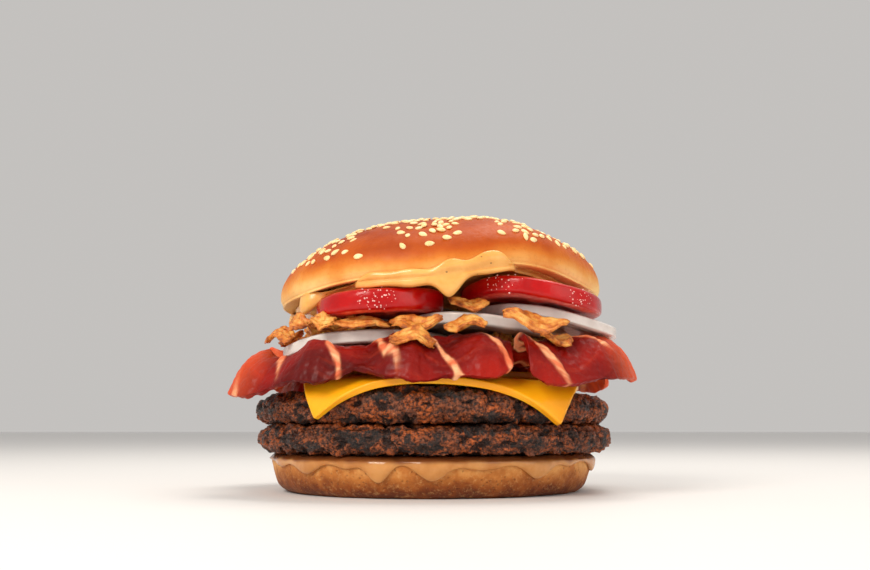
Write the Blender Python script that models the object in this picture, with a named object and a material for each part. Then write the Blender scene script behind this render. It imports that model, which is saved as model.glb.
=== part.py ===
"""A double cheeseburger with bacon, onion, crisp fried onion and tomato: one solid for each separate piece.

The burger stands on the flat underside of its bottom bun. The origin is the middle of that underside, +X is
to the right as the burger is looked at, +Y runs to its back and +Z is up. Sizes are in millimetres and angles
in degrees until a mesh is made.
"""

import math

import bmesh
import bpy
import numpy as np
from mathutils import Matrix, Vector, noise

MM = 0.001
GAP = 0.35

# Bottom bun and the melted cheese sauce on it
HEEL_RADIUS = 52.6
HEEL_TOP = 11.2
HEEL_FOOT = 0.93
HEEL_ROUND = 2.8
SAUCE_THICK = 0.9
DRIP_THICK = 1.3

# Patties
PATTY_RADIUS = 58.3
LOWER_PATTY = (12.9, 21.4)
UPPER_PATTY_BASE = 21.8
UPPER_PATTY_TOP = 33.0
CRAG = 1.1

# Cheese slices
CHEESE_SIDE = 80.0
CHEESE_THICK = 2.2
CHEESE_SHIFT = 18.0
CHEESE_ASIDE = 1.2
CHEESE_SPREAD = 0.13
CHEESE_BEND_START = 55.6
CHEESE_BEND = 5.4
CHEESE_HANG = 80.0

# Bacon
BACON_THICK = 1.7
BACON_BASE = 40.6
BACON_TOP = 44.9

# Top bun
CROWN_RADIUS = 53.6
CROWN_CENTRE = (2.6, -0.5)
CROWN_RIM = 61.2
CROWN_MIDDLE = 68.7
CROWN_APEX = 88.5
CROWN_LIP = 2.6
SEED_SIZE = (3.3, 2.0, 1.1)
SEED_COUNT = 74

# Facets round the turned pieces
ROUND_STEPS = 40
CROWN_STEPS = 44
DRIP_STEPS = 60
SLICE_STEPS = 20
BED_STEPS = 24

COLOURS = {
    "crust": ((0.62, 0.25, 0.07), 0.45),
    "heel_crust": ((0.60, 0.30, 0.10), 0.7),
    "cheese_sauce": ((0.86, 0.60, 0.26), 0.35),
    "bun_sauce": ((0.88, 0.62, 0.28), 0.3),
    "beef": ((0.11, 0.045, 0.02), 0.55),
    "cheese": ((0.98, 0.56, 0.04), 0.35),
    "bacon": ((0.42, 0.045, 0.02), 0.3),
    "onion": ((0.80, 0.74, 0.70), 0.25),
    "fried_onion": ((0.66, 0.30, 0.07), 0.5),
    "tomato": ((0.62, 0.012, 0.008), 0.2),
}


def clear_scene():
    for obj in list(bpy.data.objects):
        bpy.data.objects.remove(obj, do_unlink=True)


def material(slot):
    made = bpy.data.materials.get(slot)
    if made is None:
        colour, roughness = COLOURS[slot]
        made = bpy.data.materials.new(slot)
        made.use_nodes = True
        shader = made.node_tree.nodes["Principled BSDF"]
        shader.inputs["Base Color"].default_value = (*colour, 1.0)
        shader.inputs["Roughness"].default_value = roughness
        shader.inputs["Metallic"].default_value = 0.0
    return made


def solid(name, points, faces, slot):
    """One object from points in millimetres and faces that close on themselves."""
    mesh = bpy.data.meshes.new(name)
    mesh.from_pydata((np.asarray(points) * MM).tolist(), [], faces)
    shape = bmesh.new()
    shape.from_mesh(mesh)
    bmesh.ops.recalc_face_normals(shape, faces=shape.faces)
    shape.to_mesh(mesh)
    shape.free()
    mesh.shade_smooth()
    mesh.materials.append(material(slot))
    obj = bpy.data.objects.new(name, mesh)
    bpy.context.scene.collection.objects.link(obj)
    return obj


def rings_solid(name, rings, start, end, slot):
    """A closed solid through rings of points (one array for each ring), with a middle point at both ends."""
    count = len(rings[0])
    points = [start]
    for ring in rings:
        points.extend(ring)
    points.append(end)
    last = len(points) - 1
    faces = []
    for i in range(count):
        j = (i + 1) % count
        faces.append((0, 1 + j, 1 + i))
        for k in range(len(rings) - 1):
            low, high = 1 + k * count, 1 + (k + 1) * count
            faces.append((low + i, low + j, high + i))
            faces.append((low + j, high + j, high + i))
        low = 1 + (len(rings) - 1) * count
        faces.append((low + i, low + j, last))
    return solid(name, points, faces, slot)


def sheet_solid(name, middle, thick, slot):
    """A closed solid of the given thickness about a grid of points, both faces split into triangles alike."""
    along = np.gradient(middle, axis=0)
    across = np.gradient(middle, axis=1)
    normal = np.cross(along, across)
    normal /= np.linalg.norm(normal, axis=2, keepdims=True)
    offset = normal * (np.asarray(thick) / 2)[..., None]
    rows, columns = middle.shape[:2]
    points = np.concatenate([(middle + offset).reshape(-1, 3), (middle - offset).reshape(-1, 3)])
    below = rows * columns
    faces = []
    for i in range(rows - 1):
        for j in range(columns - 1):
            a = i * columns + j
            b, c, d = a + 1, a + columns, a + columns + 1
            faces += [(a, c, d), (a, d, b)]
            faces += [(a + below, d + below, c + below), (a + below, b + below, d + below)]
    rim = [j for j in range(columns)]
    rim += [i * columns + columns - 1 for i in range(1, rows)]
    rim += [(rows - 1) * columns + j for j in range(columns - 2, -1, -1)]
    rim += [i * columns for i in range(rows - 2, 0, -1)]
    for a, b in zip(rim, rim[1:] + rim[:1]):
        faces += [(a, b, b + below), (a, b + below, a + below)]
    return solid(name, points, faces, slot)


def smooth_step(low, high, value):
    share = np.clip((np.asarray(value, float) - low) / (high - low), 0.0, 1.0)
    return share * share * (3.0 - 2.0 * share)


def bump(angle, middle, width):
    """A smooth hump of height 1 about an angle, in degrees, round the circle."""
    away = (np.asarray(angle) - middle + 180.0) % 360.0 - 180.0
    return np.exp(-((away / width) ** 2))


def wobble(angle, seed, waves=(2, 3, 5, 7)):
    """A smooth uneven value round the circle, about -1 to 1."""
    draw = np.random.default_rng(seed)
    turn = np.radians(angle)
    total = 0.0
    for wave in waves:
        total = total + np.sin(wave * turn + draw.uniform(0, 2 * math.pi)) / math.sqrt(wave)
    return total / sum(1 / math.sqrt(wave) for wave in waves)


def rough(points, scale, seed):
    """Smooth noise, about -1 to 1, at each point."""
    shift = Vector((seed * 17.3, seed * 9.1, seed * 5.7))
    return np.array([noise.noise(Vector(point) / scale + shift) for point in points])


def angles(steps):
    return np.arange(steps) * 360.0 / steps


def polar(radius, angle, height):
    turn = np.radians(angle)
    height = np.broadcast_to(height, np.shape(turn))
    return np.stack([radius * np.cos(turn), radius * np.sin(turn), height], axis=-1)


# Bottom bun


def heel_radius(angle, height):
    """The bun is widest at its cut top and draws in to a smaller flat foot."""
    below = np.clip((HEEL_TOP - height) / HEEL_TOP, 0.0, 1.0)
    shape = 1.0 - (1.0 - HEEL_FOOT) * below**2
    low = np.clip(1.0 - np.asarray(height) / HEEL_ROUND, 0.0, 1.0)
    inset = HEEL_ROUND * (1.0 - np.sqrt(1.0 - low**2))
    return HEEL_RADIUS * shape * (1.0 + 0.012 * wobble(angle, 3)) - inset


def heel():
    angle = angles(ROUND_STEPS)
    heights = (0.0, 0.4, 1.3, HEEL_ROUND, 6.5, HEEL_TOP - 0.9)
    rings = [polar(heel_radius(angle, height), angle, height) for height in heights]
    rings.append(polar(heel_radius(angle, HEEL_TOP) - 0.8, angle, HEEL_TOP))
    rings_solid("bun_heel", rings, (0, 0, 0), (0, 0, HEEL_TOP), "heel_crust")


# Melted cheese sauce over the bottom bun's rim: where each drip hangs, how wide it is and how far it falls
DRIPS = (
    (-152.0, 6.0, 2.6),
    (-135.0, 7.0, 4.2),
    (-118.0, 5.0, 2.6),
    (-107.0, 4.6, 6.4),
    (-90.0, 6.0, 5.6),
    (-73.0, 8.0, 2.6),
    (-53.0, 6.5, 5.4),
    (-38.0, 5.0, 2.2),
    (-14.0, 7.0, 4.0),
    (12.0, 6.0, 5.0),
    (38.0, 8.0, 3.0),
    (64.0, 6.0, 5.4),
    (92.0, 8.0, 3.6),
    (118.0, 6.0, 5.8),
    (143.0, 8.0, 3.0),
    (172.0, 6.0, 4.8),
)
DRIP_LEAST = 0.8


def drip_fall(angle):
    """How far below the bun's top the sauce hangs at each angle."""
    fall = DRIP_LEAST + 0.4 * wobble(angle, 8)
    for middle, width, depth in DRIPS:
        fall = fall + (depth - DRIP_LEAST) * bump(angle, middle, width)
    return fall


def heel_sauce():
    angle = angles(DRIP_STEPS)
    top = HEEL_TOP + GAP + SAUCE_THICK
    fall = drip_fall(angle)
    rim = heel_radius(angle, HEEL_TOP)
    fat = DRIP_THICK * (0.4 + 0.6 * smooth_step(DRIP_LEAST, 5.5, fall))
    tip = HEEL_TOP - fall
    half = HEEL_TOP - fall * 0.5
    clear = GAP + 0.25
    under = HEEL_TOP + GAP
    rings = [
        polar(rim - 1.2, angle, top),
        polar(rim + clear + fat * 0.8, angle, HEEL_TOP - 0.1),
        polar(heel_radius(angle, half) + clear + fat, angle, half),
        polar(heel_radius(angle, tip) + clear + fat * 0.7, angle, tip - 0.1),
        polar(heel_radius(angle, tip) + clear, angle, tip),
        polar(heel_radius(angle, half) + clear, angle, half),
        polar(rim + clear, angle, under - 0.3),
        polar(rim - 0.4, angle, under),
    ]
    rings_solid("cheese_sauce", rings, (0, 0, top), (0, 0, under), "cheese_sauce")


# Patties


def patty_radius(angle, seed):
    return PATTY_RADIUS * (1.0 + 0.014 * wobble(angle, seed, (2, 3, 4, 7, 11)))


def upper_patty_top(share, angle):
    """Height of the upper patty's top: lower at the two sides, and a little swollen at the front."""
    side = np.cos(np.radians(angle)) ** 2
    return UPPER_PATTY_TOP - share**2 * (1.2 + 1.4 * side - 1.2 * bump(angle, -106, 30))


def patty(name, base, top, seed, shift):
    angle = angles(ROUND_STEPS)
    radius = patty_radius(angle, seed)
    rounds = ((0.935, 0.0), (0.985, 0.22), (1.0, 0.5), (0.985, 0.78), (0.935, 1.0))
    rings = [polar(radius * 0.5, angle, base)]
    for share, rise in rounds:
        rings.append(polar(radius * share, angle, base + (top(share, angle) - base) * rise))
    rings.append(polar(radius * 0.5, angle, top(0.5, angle)))
    for k in (2, 3, 4):
        out = polar(1.0, angle, 0.0)
        size = CRAG * (rough(rings[k], 6.0, seed) + 0.6 * rough(rings[k], 2.7, seed + 5))
        rings[k] = rings[k] + out * size[:, None]
    rings = [ring + np.array(shift) for ring in rings]
    ends = [(shift[0], shift[1], base), (shift[0], shift[1], float(top(0.0, np.zeros(1))[0]))]
    rings_solid(name, rings, ends[0], ends[1], "beef")


def patties():
    base, flat = LOWER_PATTY
    patty("patty_lower", base, lambda share, angle: np.full(np.shape(angle), flat), 11, (0.8, 0, 0))
    patty("patty_upper", UPPER_PATTY_BASE, upper_patty_top, 12, (0, 0, 0))


# Cheese


def drape(flat_x, flat_y, seat, lift):
    """A point of a flat slice laid on the patty: past the rim it bends over and hangs, keeping its length."""
    angle = np.degrees(np.arctan2(flat_y, flat_x))
    reach = np.hypot(flat_x, flat_y)
    past = np.maximum(reach - CHEESE_BEND_START, 0.0)
    most = math.radians(CHEESE_HANG)
    bend = np.minimum(past / CHEESE_BEND, most)
    straight = np.maximum(past - CHEESE_BEND * most, 0.0)
    radius = np.minimum(reach, CHEESE_BEND_START) + CHEESE_BEND * np.sin(bend) + straight * math.cos(most)
    fall = CHEESE_BEND * (1.0 - np.cos(bend)) + straight * math.sin(most)
    share = np.minimum(reach, CHEESE_BEND_START) / PATTY_RADIUS
    height = upper_patty_top(share, angle) + seat + lift - fall
    turn = np.radians(angle)
    return np.stack([radius * np.cos(turn), radius * np.sin(turn), height], axis=-1)


def cheese_slice(name, side, turn, steps=11):
    """A square slice laid off centre, so that two corners hang; side is -1 at the front and 1 at the back."""
    line = np.linspace(-CHEESE_SIDE / 2, CHEESE_SIDE / 2, steps)
    u, v = np.meshgrid(line, line, indexing="ij")
    u = u * np.where(u > 0, 1.0 + CHEESE_SPREAD * smooth_step(line[0], 0.0, v), 1.0) + CHEESE_ASIDE
    spin = math.radians(turn)
    x = u * math.cos(spin) - v * math.sin(spin)
    y = u * math.sin(spin) + v * math.cos(spin) + side * CHEESE_SHIFT
    seat = GAP + 0.7 + CHEESE_THICK / 2
    lift = np.zeros_like(x)
    if side > 0:
        front_edge = CHEESE_SIDE / 2 - CHEESE_SHIFT
        lift = (CHEESE_THICK + GAP + 0.25) * (1.0 - smooth_step(front_edge + 2.5, front_edge + 11.0, y))
    middle = drape(x, y, seat, lift)
    sheet_solid(name, middle, np.full(x.shape, CHEESE_THICK), "cheese")


# Bacon


def spline(knots, steps):
    """Points on a smooth curve through the knots, evenly spread by knot."""
    knots = np.asarray(knots, float)
    padded = np.vstack([2 * knots[0] - knots[1], knots, 2 * knots[-1] - knots[-2]])
    where = np.linspace(0, len(knots) - 1, steps)
    cell = np.minimum(where.astype(int), len(knots) - 2)
    t = (where - cell)[:, None]
    a, b, c, d = (padded[cell + k] for k in range(4))
    cubic = -a + 3 * b - 3 * c + d
    square = 2 * a - 5 * b + 4 * c - d
    return 0.5 * (2 * b + (c - a) * t + square * t**2 + cubic * t**3)


# Each rasher: its route seen from above, its height along the route, and the waves of its outer edge
RASHERS = {
    "bacon_front_left": {
        "route": ((-51.5, -15), (-44, -29.8), (-30.2, -40.2), (-10.5, -46), (6, -46.4), (22, -45)),
        "height": (-4.5, -3.0, -0.6, 0.2, 0.2, -0.8),
        "waves": 3.9,
        "phase": 205.0,
        "turn": 0.0,
    },
    "bacon_front_right": {
        "route": ((24.6, -44.6), (32.5, -41.8), (39.6, -36.4), (46, -26.8), (50, -12)),
        "height": (0.0, -0.3, -0.3, 1.5, 3.0),
        "waves": 1.35,
        "phase": 70.0,
        "turn": 0.0,
    },
    "bacon_back_right": {
        "route": ((-51.5, -15), (-43, -29), (-29, -38.5), (-10, -44.5), (6, -45), (20, -43)),
        "height": (0.6, -0.2, 0.0, 0.0, 0.2, -1.0),
        "waves": 4.0,
        "phase": 20.0,
        "turn": 180.0,
    },
    "bacon_back_left": {
        "route": ((24, -42), (36, -36.5), (45, -26.5), (50, -12)),
        "height": (0.0, 0.0, 0.0, -1.0),
        "waves": 1.8,
        "phase": 160.0,
        "turn": 180.0,
    },
}


# A rasher's section from its inner to its outer edge: how far out of its route, and how high over its base
RASHER_SECTION = (
    (-14.0, 0.3),
    (-7.0, 0.5),
    (-1.5, 2.4),
    (2.5, 5.8),
    (5.6, 6.2),
    (9.4, 3.0),
    (12.8, -1.6),
    (15.2, -6.6),
)


def rasher(name, form, seed, steps):
    route = spline([(*point, rise) for point, rise in zip(form["route"], form["height"])], steps[0])
    plan = route[:, :2]
    ahead = np.gradient(plan, axis=0)
    ahead /= np.linalg.norm(ahead, axis=1, keepdims=True)
    outward = np.stack([ahead[:, 1], -ahead[:, 0]], axis=1)
    t = np.linspace(0, 1, steps[0])[:, None]
    s = np.linspace(-1, 1, steps[1])[None, :]
    section = spline(RASHER_SECTION, steps[1])
    uneven = 0.35 * np.sin(2 * math.pi * (1.7 * t + seed * 0.37)) + 0.5 * s
    phase = 2 * math.pi * form["waves"] * t + math.radians(form["phase"]) + uneven
    outer = smooth_step(-0.3, 0.6, s)
    hem = smooth_step(0.3, 1.0, s)
    height = BACON_BASE + route[:, 2:3] + section[:, 1] + (0.5 + outer * (1.8 - 1.2 * hem)) * np.cos(phase)
    sideways = section[:, 0] + outer * (3.0 - 1.7 * hem) * np.sin(phase)
    near_end = 1.0 - smooth_step(0.0, 0.1, np.minimum(t, 1.0 - t))
    height = height + 2.6 * outer * near_end
    sideways = sideways * (1.0 - 0.2 * near_end)
    x = plan[:, :1] + outward[:, :1] * sideways
    y = plan[:, 1:] + outward[:, 1:] * sideways
    height = np.maximum(height, rasher_floor(x, y))
    turn = math.radians(form["turn"])
    x, y = x * math.cos(turn) - y * math.sin(turn), x * math.sin(turn) + y * math.cos(turn)
    height = np.minimum(height, rasher_ceiling(x, y))
    middle = np.stack([x, y, height], axis=-1)
    sheet_solid(name, middle, np.full(height.shape, BACON_THICK), "bacon")


def rasher_floor(x, y):
    """The lowest middle height of a rasher that keeps it clear of the cheese and of the patty's rim."""
    radius = np.hypot(x, y)
    from_front = np.abs(np.degrees(np.arctan2(-x, -y)))
    cheese = 1.0 - smooth_step(52.0, 62.0, from_front)
    rim = 34.0 + 3.8 * cheese
    corner = cheese * smooth_step(8.0, 24.0, from_front)
    start = 56.5 + 2.0 * cheese + 3.2 * corner
    fall = 8.5 * smooth_step(start, start + 6.0, radius)
    past_second = np.maximum((-y - 32.0) / 9.0, (np.abs(x) - 46.5) / 7.0)
    two_slices = 39.8 - 5.5 * smooth_step(0.0, 1.0, past_second)
    return np.maximum(rim, two_slices) - fall


def rasher_ceiling(x, y):
    """The highest middle height of a rasher that keeps it clear of the onions over it."""
    lowest = BACON_TOP - BACON_THICK / 2 + 6.5 * smooth_step(43.5, 49.0, np.hypot(x, y))
    for form in ONIONS.values():
        away = np.hypot(x - form["centre"][0], y - form["centre"][1]) - form["radius"]
        under = slice_height(form, x, y) - form["thick"] / 2 - GAP - BACON_THICK * 0.8
        lowest = np.minimum(lowest, under + 9.0 * smooth_step(1.5, 7.0, away))
    return lowest


def bacon():
    for seed, (name, form) in enumerate(RASHERS.items()):
        rasher(name, form, seed, (25, 7) if form["turn"] == 0.0 else (18, 6))


# Round slices: onion and tomato


def slice_height(form, x, y):
    """Middle height of a slice: a smooth curve over its profile along its front, tipped down to the back."""
    curve = spline(form["profile"], 40)
    front = form["centre"][1] - form["radius"]
    return np.interp(x, curve[:, 0], curve[:, 1]) + form["tip"] * (y - front)


def round_slice(name, form, slot, seed, edge):
    angle = angles(SLICE_STEPS)
    radius = form["radius"] * (1.0 + 0.016 * wobble(angle, seed))
    half = form["thick"] / 2
    rings = []
    inner = radius * 0.5
    for inset, rise in ((inner, 1.0), (edge, 1.0), (0.0, 0.4), (0.0, -0.4), (edge, -1.0), (inner, -1.0)):
        ring = polar(radius - inset, angle, 0.0) + np.array((*form["centre"], 0.0))
        ring[:, 2] = slice_height(form, ring[:, 0], ring[:, 1]) + half * rise
        rings.append(ring)
    x, y = form["centre"]
    middle = slice_height(form, x, y)
    rings_solid(name, rings, (x, y, middle + half), (x, y, middle - half), slot)


# Each slice: its middle seen from above, its radius, and its height from left to right as the stack leans
ONIONS = {
    "onion_left": {
        "centre": (-20.5, -19.0),
        "radius": 27.0,
        "thick": 4.6,
        "profile": ((-47, 44.0), (-36, 46.5), (-24, 47.7), (-10, 48.1), (9, 47.8)),
        "tip": -0.02,
    },
    "onion_middle": {
        "centre": (13.5, -26.5),
        "radius": 21.6,
        "thick": 4.2,
        "profile": ((-9, 52.6), (0, 53.4), (12, 52.9), (25, 51.7), (36, 51.1)),
        "tip": -0.02,
    },
    "onion_right": {
        "centre": (36.5, -20.0),
        "radius": 22.3,
        "thick": 3.9,
        "profile": ((12, 57.1), (24, 57.0), (37, 55.0), (50, 52.0), (59, 50.8)),
        "tip": -0.03,
    },
    "onion_back": {
        "centre": (2.0, 33.0),
        "radius": 21.4,
        "thick": 4.4,
        "profile": ((-20, 50.4), (2, 51.6), (24, 50.6)),
        "tip": -0.05,
    },
}
TOMATOES = {
    "tomato_left": {
        "centre": (-15.8, -33.0),
        "radius": 19.8,
        "thick": 7.2,
        "profile": ((-36, 56.5), (-26, 57.7), (-16, 58.2), (-6, 58.7), (5, 59.4)),
        "tip": 0.0,
    },
    "tomato_right": {
        "centre": (31.3, -27.4),
        "radius": 22.2,
        "thick": 6.2,
        "profile": ((6, 61.4), (12, 62.4), (20, 63.5), (32, 62.0), (43, 59.9), (54, 58.4)),
        "tip": -0.03,
    },
    "tomato_back": {
        "centre": (1.0, 30.0),
        "radius": 23.4,
        "thick": 5.8,
        "profile": ((-23, 57.0), (1, 58.2), (25, 57.6)),
        "tip": -0.06,
    },
}


def slices():
    for seed, (name, form) in enumerate(ONIONS.items()):
        round_slice(name, form, "onion", 30 + seed, 0.8)
    for seed, (name, form) in enumerate(TOMATOES.items()):
        round_slice(name, form, "tomato", 40 + seed, 1.2)


def slices_under(x, y, forms, margin=7.0):
    """Height of the underside of the lowest slice over a point, rising away where no slice is over it."""
    lowest = np.full(np.shape(x), 90.0)
    for form in forms:
        away = np.hypot(x - form["centre"][0], y - form["centre"][1]) - form["radius"] - margin
        under = slice_height(form, x, y) - form["thick"] / 2
        lowest = np.minimum(lowest, under + 30.0 * smooth_step(0.0, 12.0, away))
    return lowest


def slices_over(x, y, forms, margin=5.5):
    """Height of the top of the highest slice under a point, falling away where no slice is under it."""
    highest = np.full(np.shape(x), 0.0)
    for form in forms:
        away = np.hypot(x - form["centre"][0], y - form["centre"][1]) - form["radius"] - margin
        over = slice_height(form, x, y) + form["thick"] / 2
        highest = np.maximum(highest, over - 30.0 * smooth_step(0.0, 12.0, away))
    return highest


# Bed of crisp fried onion in the middle: it props up the onion and tomato slices
BED_RADIUS = 41.0
UPPER_BED_CENTRE = (-24.0, -26.0)
UPPER_BED_RADIUS = 14.4
BED_NARROW = 14.5
BED_NARROW_AT = -150.0
BED_INNER_FLOOR = 39.6
BED_OUTER_FLOOR = BACON_TOP + 0.6
FREE_CROWN = 58.5
FREE_EDGE = 54.0


def free_level(radius):
    """Height at which the bed and the sauce over it would meet where no slice is between them."""
    return FREE_CROWN - (FREE_CROWN - FREE_EDGE) * (radius / BED_RADIUS) ** 2


def bed_radius(angle):
    """The bed is narrow at the left, where an onion slice lies straight on the bacon."""
    from_left = np.abs((angle - BED_NARROW_AT + 180.0) % 360.0 - 180.0)
    return BED_RADIUS - BED_NARROW * (1.0 - smooth_step(62.0, 78.0, from_left)) + 1.2 * wobble(angle, 21)


def bed_surfaces(share, angle):
    """Points of the bed's top and underside at a part of its radius."""
    flat = polar(bed_radius(angle) * share, angle, 0.0)
    x, y = flat[:, 0], flat[:, 1]
    radius = np.hypot(x, y)
    floor = BED_INNER_FLOOR + (BED_OUTER_FLOOR - BED_INNER_FLOOR) * smooth_step(25.5, 29.5, radius)
    over = slices_under(x, y, [*ONIONS.values(), *TOMATOES.values()]) - GAP - 1.1
    lumps = 0.9 * rough(flat, 7.0, 31)
    top = np.minimum(free_level(radius) - 1.2 + lumps, over - np.abs(lumps))
    return with_heights(flat, np.maximum(top, floor + 0.7), floor)


def with_heights(flat, top, bottom):
    upper, lower = flat.copy(), flat.copy()
    upper[:, 2], lower[:, 2] = top, bottom
    return upper, lower


def layer_solid(name, surfaces, shares, steps, slot):
    """A lumpy layer between two surfaces, with a rounded edge."""
    angle = angles(steps)
    pairs = [surfaces(share, angle) for share in shares]
    uppers = [upper for upper, lower in pairs]
    lowers = [lower for upper, lower in pairs]
    rim_top, rim_low = uppers.pop(), lowers.pop()
    middle = (rim_top + rim_low) / 2
    rim = [middle + (rim_low - middle) * 0.6, middle + (rim_top - middle) * 0.6]
    rings = lowers + rim + uppers[::-1]
    upper, lower = surfaces(0.0, np.zeros(1))
    rings_solid(name, rings, lower[0], upper[0], slot)


def upper_bed_surfaces(share, angle):
    """A second layer of crisp onion, between the left onion slice and the left tomato slice."""
    onion, tomato = ONIONS["onion_left"], TOMATOES["tomato_left"]
    radius = (UPPER_BED_RADIUS + 0.9 * wobble(angle, 22)) * share
    flat = polar(radius, angle, 0.0) + np.array((*UPPER_BED_CENTRE, 0.0))
    floor = slice_height(onion, flat[:, 0], flat[:, 1]) + onion["thick"] / 2 + GAP
    over = slice_height(tomato, flat[:, 0], flat[:, 1]) - tomato["thick"] / 2 - GAP
    lumps = 0.5 * np.abs(rough(flat, 5.0, 32))
    return with_heights(flat, np.maximum(over - 0.2 - lumps, floor + 0.6), floor)


def beds():
    layer_solid("fried_onion_bed", bed_surfaces, (0.35, 0.62, 0.8, 0.94, 1.0), BED_STEPS, "fried_onion")
    layer_solid("fried_onion_layer", upper_bed_surfaces, (0.5, 0.85, 1.0), SLICE_STEPS, "fried_onion")


# Crisp fried onion: middle of each flake, its length and width, how it is turned, tipped and rolled, its curl
FLAKES = (
    ((-21.0, -47.0, 51.6), (16, 6), (4, 32, 0), 0.5),
    ((-4.5, -50.5, 51.4), (15, 7), (-6, 40, -6), 1.0),
    ((-5.4, -57.6, 46.4), (13, 6), (10, 44, 8), 0.9),
    ((10.0, -52.8, 50.9), (12, 6.5), (-8, 36, -6), 0.8),
    ((11.0, -46.8, 57.4), (11, 5.5), (6, 34, 0), 0.6),
    ((30.5, -51.2, 51.8), (20, 8.5), (12, 40, 8), 1.1),
    ((37.0, -47.5, 46.9), (11, 6), (30, 30, 6), 0.9),
    ((-47.4, -30.4, 49.0), (12, 6), (-44, 34, 0), 0.8),
    ((-32.3, -46.0, 52.2), (7.5, 5.5), (-24, 58, 0), 0.6),
    ((50.5, 16.0, 50.4), (15, 8), (88, 26, 0), 1.1),
    ((30.0, 42.0, 50.0), (16, 8), (140, 26, 0), 1.2),
    ((-27.0, 44.0, 50.6), (16, 8), (-146, 26, 0), 1.2),
    ((-49.5, 16.0, 50.4), (15, 8), (-92, 26, 0), 1.0),
    ((-40.2, -39.6, 52.6), (8.5, 5.5), (-36, 56, 0), 0.6),
)
FLAKE_THICK = 1.1


def flake(name, middle, size, turned, curl, seed, steps=(6, 4)):
    """A curled scrap of onion: a leaf outline, rolled across and waved along its length."""
    u = np.linspace(-1, 1, steps[0])[:, None]
    v = np.linspace(-1, 1, steps[1])[None, :]
    draw = np.random.default_rng(70 + seed)
    lean = draw.uniform(0, 6.28, 4)
    half_width = size[1] / 2 * (1.0 - 0.62 * u**2 + 0.16 * np.sin(4.2 * u + lean[0]))
    x = size[0] / 2 * u + 0.5 * np.sin(3.0 * v + lean[1])
    y = half_width * v + 0.8 * np.sin(2.6 * u + lean[2])
    z = curl * (np.sin(3.4 * u + lean[3]) + 0.9 * v**2 * np.cos(2.2 * u))
    points = np.stack([x, y, z], axis=-1)
    yaw, pitch, roll = (math.radians(turn) for turn in turned)
    spin = Matrix.Rotation(yaw, 3, "Z") @ Matrix.Rotation(pitch, 3, "X") @ Matrix.Rotation(roll, 3, "Y")
    points = points @ np.array(spin).T + np.array(middle)
    sheet_solid(name, points, np.full(points.shape[:2], FLAKE_THICK), "fried_onion")


def flakes():
    for seed, (middle, size, turned, curl) in enumerate(FLAKES):
        flake(f"fried_onion_{seed + 1:02d}", middle, size, turned, curl, seed)


# Top bun


def crown_rim(angle):
    """Height of the top bun's rim: it leans down to the left, and the two front tomato slices push it up."""
    turn = np.radians(angle)
    lean = 2.0 * np.cos(turn) - 0.9 * np.sin(turn)
    return CROWN_RIM + lean + 6.0 * bump(angle, -64, 27) + 2.8 * bump(angle, -116, 26)


def crown_base(share, angle):
    return CROWN_MIDDLE + (crown_rim(angle) - CROWN_MIDDLE) * share**2


def crown_point(share, rise, angle):
    """share is the part of the radius, and rise the height over the bun's own base."""
    radius = CROWN_RADIUS * (1.0 + 0.010 * wobble(angle, 51, (2, 3, 5))) * share
    place = polar(radius, angle, 0.0) + np.array((*CROWN_CENTRE, 0.0))
    place[..., 2] = crown_base(share, angle) + rise
    return place


def dome(share):
    """Rise of the crust from the lip up: fuller at the shoulders and flatter on top than a ball."""
    return CROWN_LIP + (CROWN_APEX - CROWN_MIDDLE - CROWN_LIP) * np.maximum(1.0 - share**2.5, 0.0) ** 0.4


def crown_shape():
    angle = angles(CROWN_STEPS)
    under = ((0.5, 0.0), (0.94, 0.0), (0.985, CROWN_LIP * 0.35))
    over = [math.sin(math.radians(turn)) for turn in (90, 76, 61, 46, 31, 15)]
    rings = [crown_point(share, rise, angle) for share, rise in under]
    rings += [crown_point(share, dome(share), angle) for share in over]
    x, y = CROWN_CENTRE
    return rings_solid("bun_crown", rings, (x, y, CROWN_MIDDLE), (x, y, CROWN_APEX), "crust")


def seed_places(count):
    """Where the sesame seeds lie: scattered over the top and shoulders, none on another."""
    draw = np.random.default_rng(7)
    spots = []
    while len(spots) < count:
        share = draw.uniform(0, 1) ** 0.55 * 0.97
        angle = draw.uniform(-180, 180)
        place = crown_point(share, dome(share), np.array([angle]))[0]
        keep = draw.uniform() < 1.15 - 0.9 * float(smooth_step(0.72, 0.99, share))
        if keep and all(np.linalg.norm(place - other[0]) > SEED_SIZE[0] * 1.25 for other in spots):
            spots.append((place, share, angle, draw.uniform(0, 360)))
    return spots


def seed_matrix(place, share, angle, spin):
    """Stands a seed's flat side on the crust, turned by spin."""
    step = 0.01
    out = crown_point(share + step, dome(min(share + step, 1.0)), np.array([angle]))[0] - place
    round_it = crown_point(share, dome(share), np.array([angle + 1.0]))[0] - place
    if share < 0.02:
        out, round_it = np.array((1.0, 0, 0)), np.array((0, 1.0, 0))
    up = Vector(np.cross(out, round_it)).normalized()
    side = Vector(out).normalized()
    other = up.cross(side).normalized()
    frame = Matrix((side, other, up)).transposed().to_4x4()
    return Matrix.Translation(Vector(place * MM)) @ frame @ Matrix.Rotation(math.radians(spin), 4, "Z")


def sesame_seed():
    """One seed as a mesh: a flattened drop, blunt at one end, in four sides."""
    length, width, thick = SEED_SIZE
    rings = []
    turn = np.radians(angles(4))
    for share, fat in ((-0.5, 0.9), (0.35, 1.0)):
        across = np.cos(turn) * width / 2 * fat
        upward = np.sin(turn) * thick / 2 * fat
        rings.append(np.stack([np.full(4, share * length / 2), across, upward], axis=-1))
    made = rings_solid("seed", rings, (-length / 2, 0, 0), (length / 2, 0, 0), "crust")
    mesh = made.data
    bpy.data.objects.remove(made)
    return mesh


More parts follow.
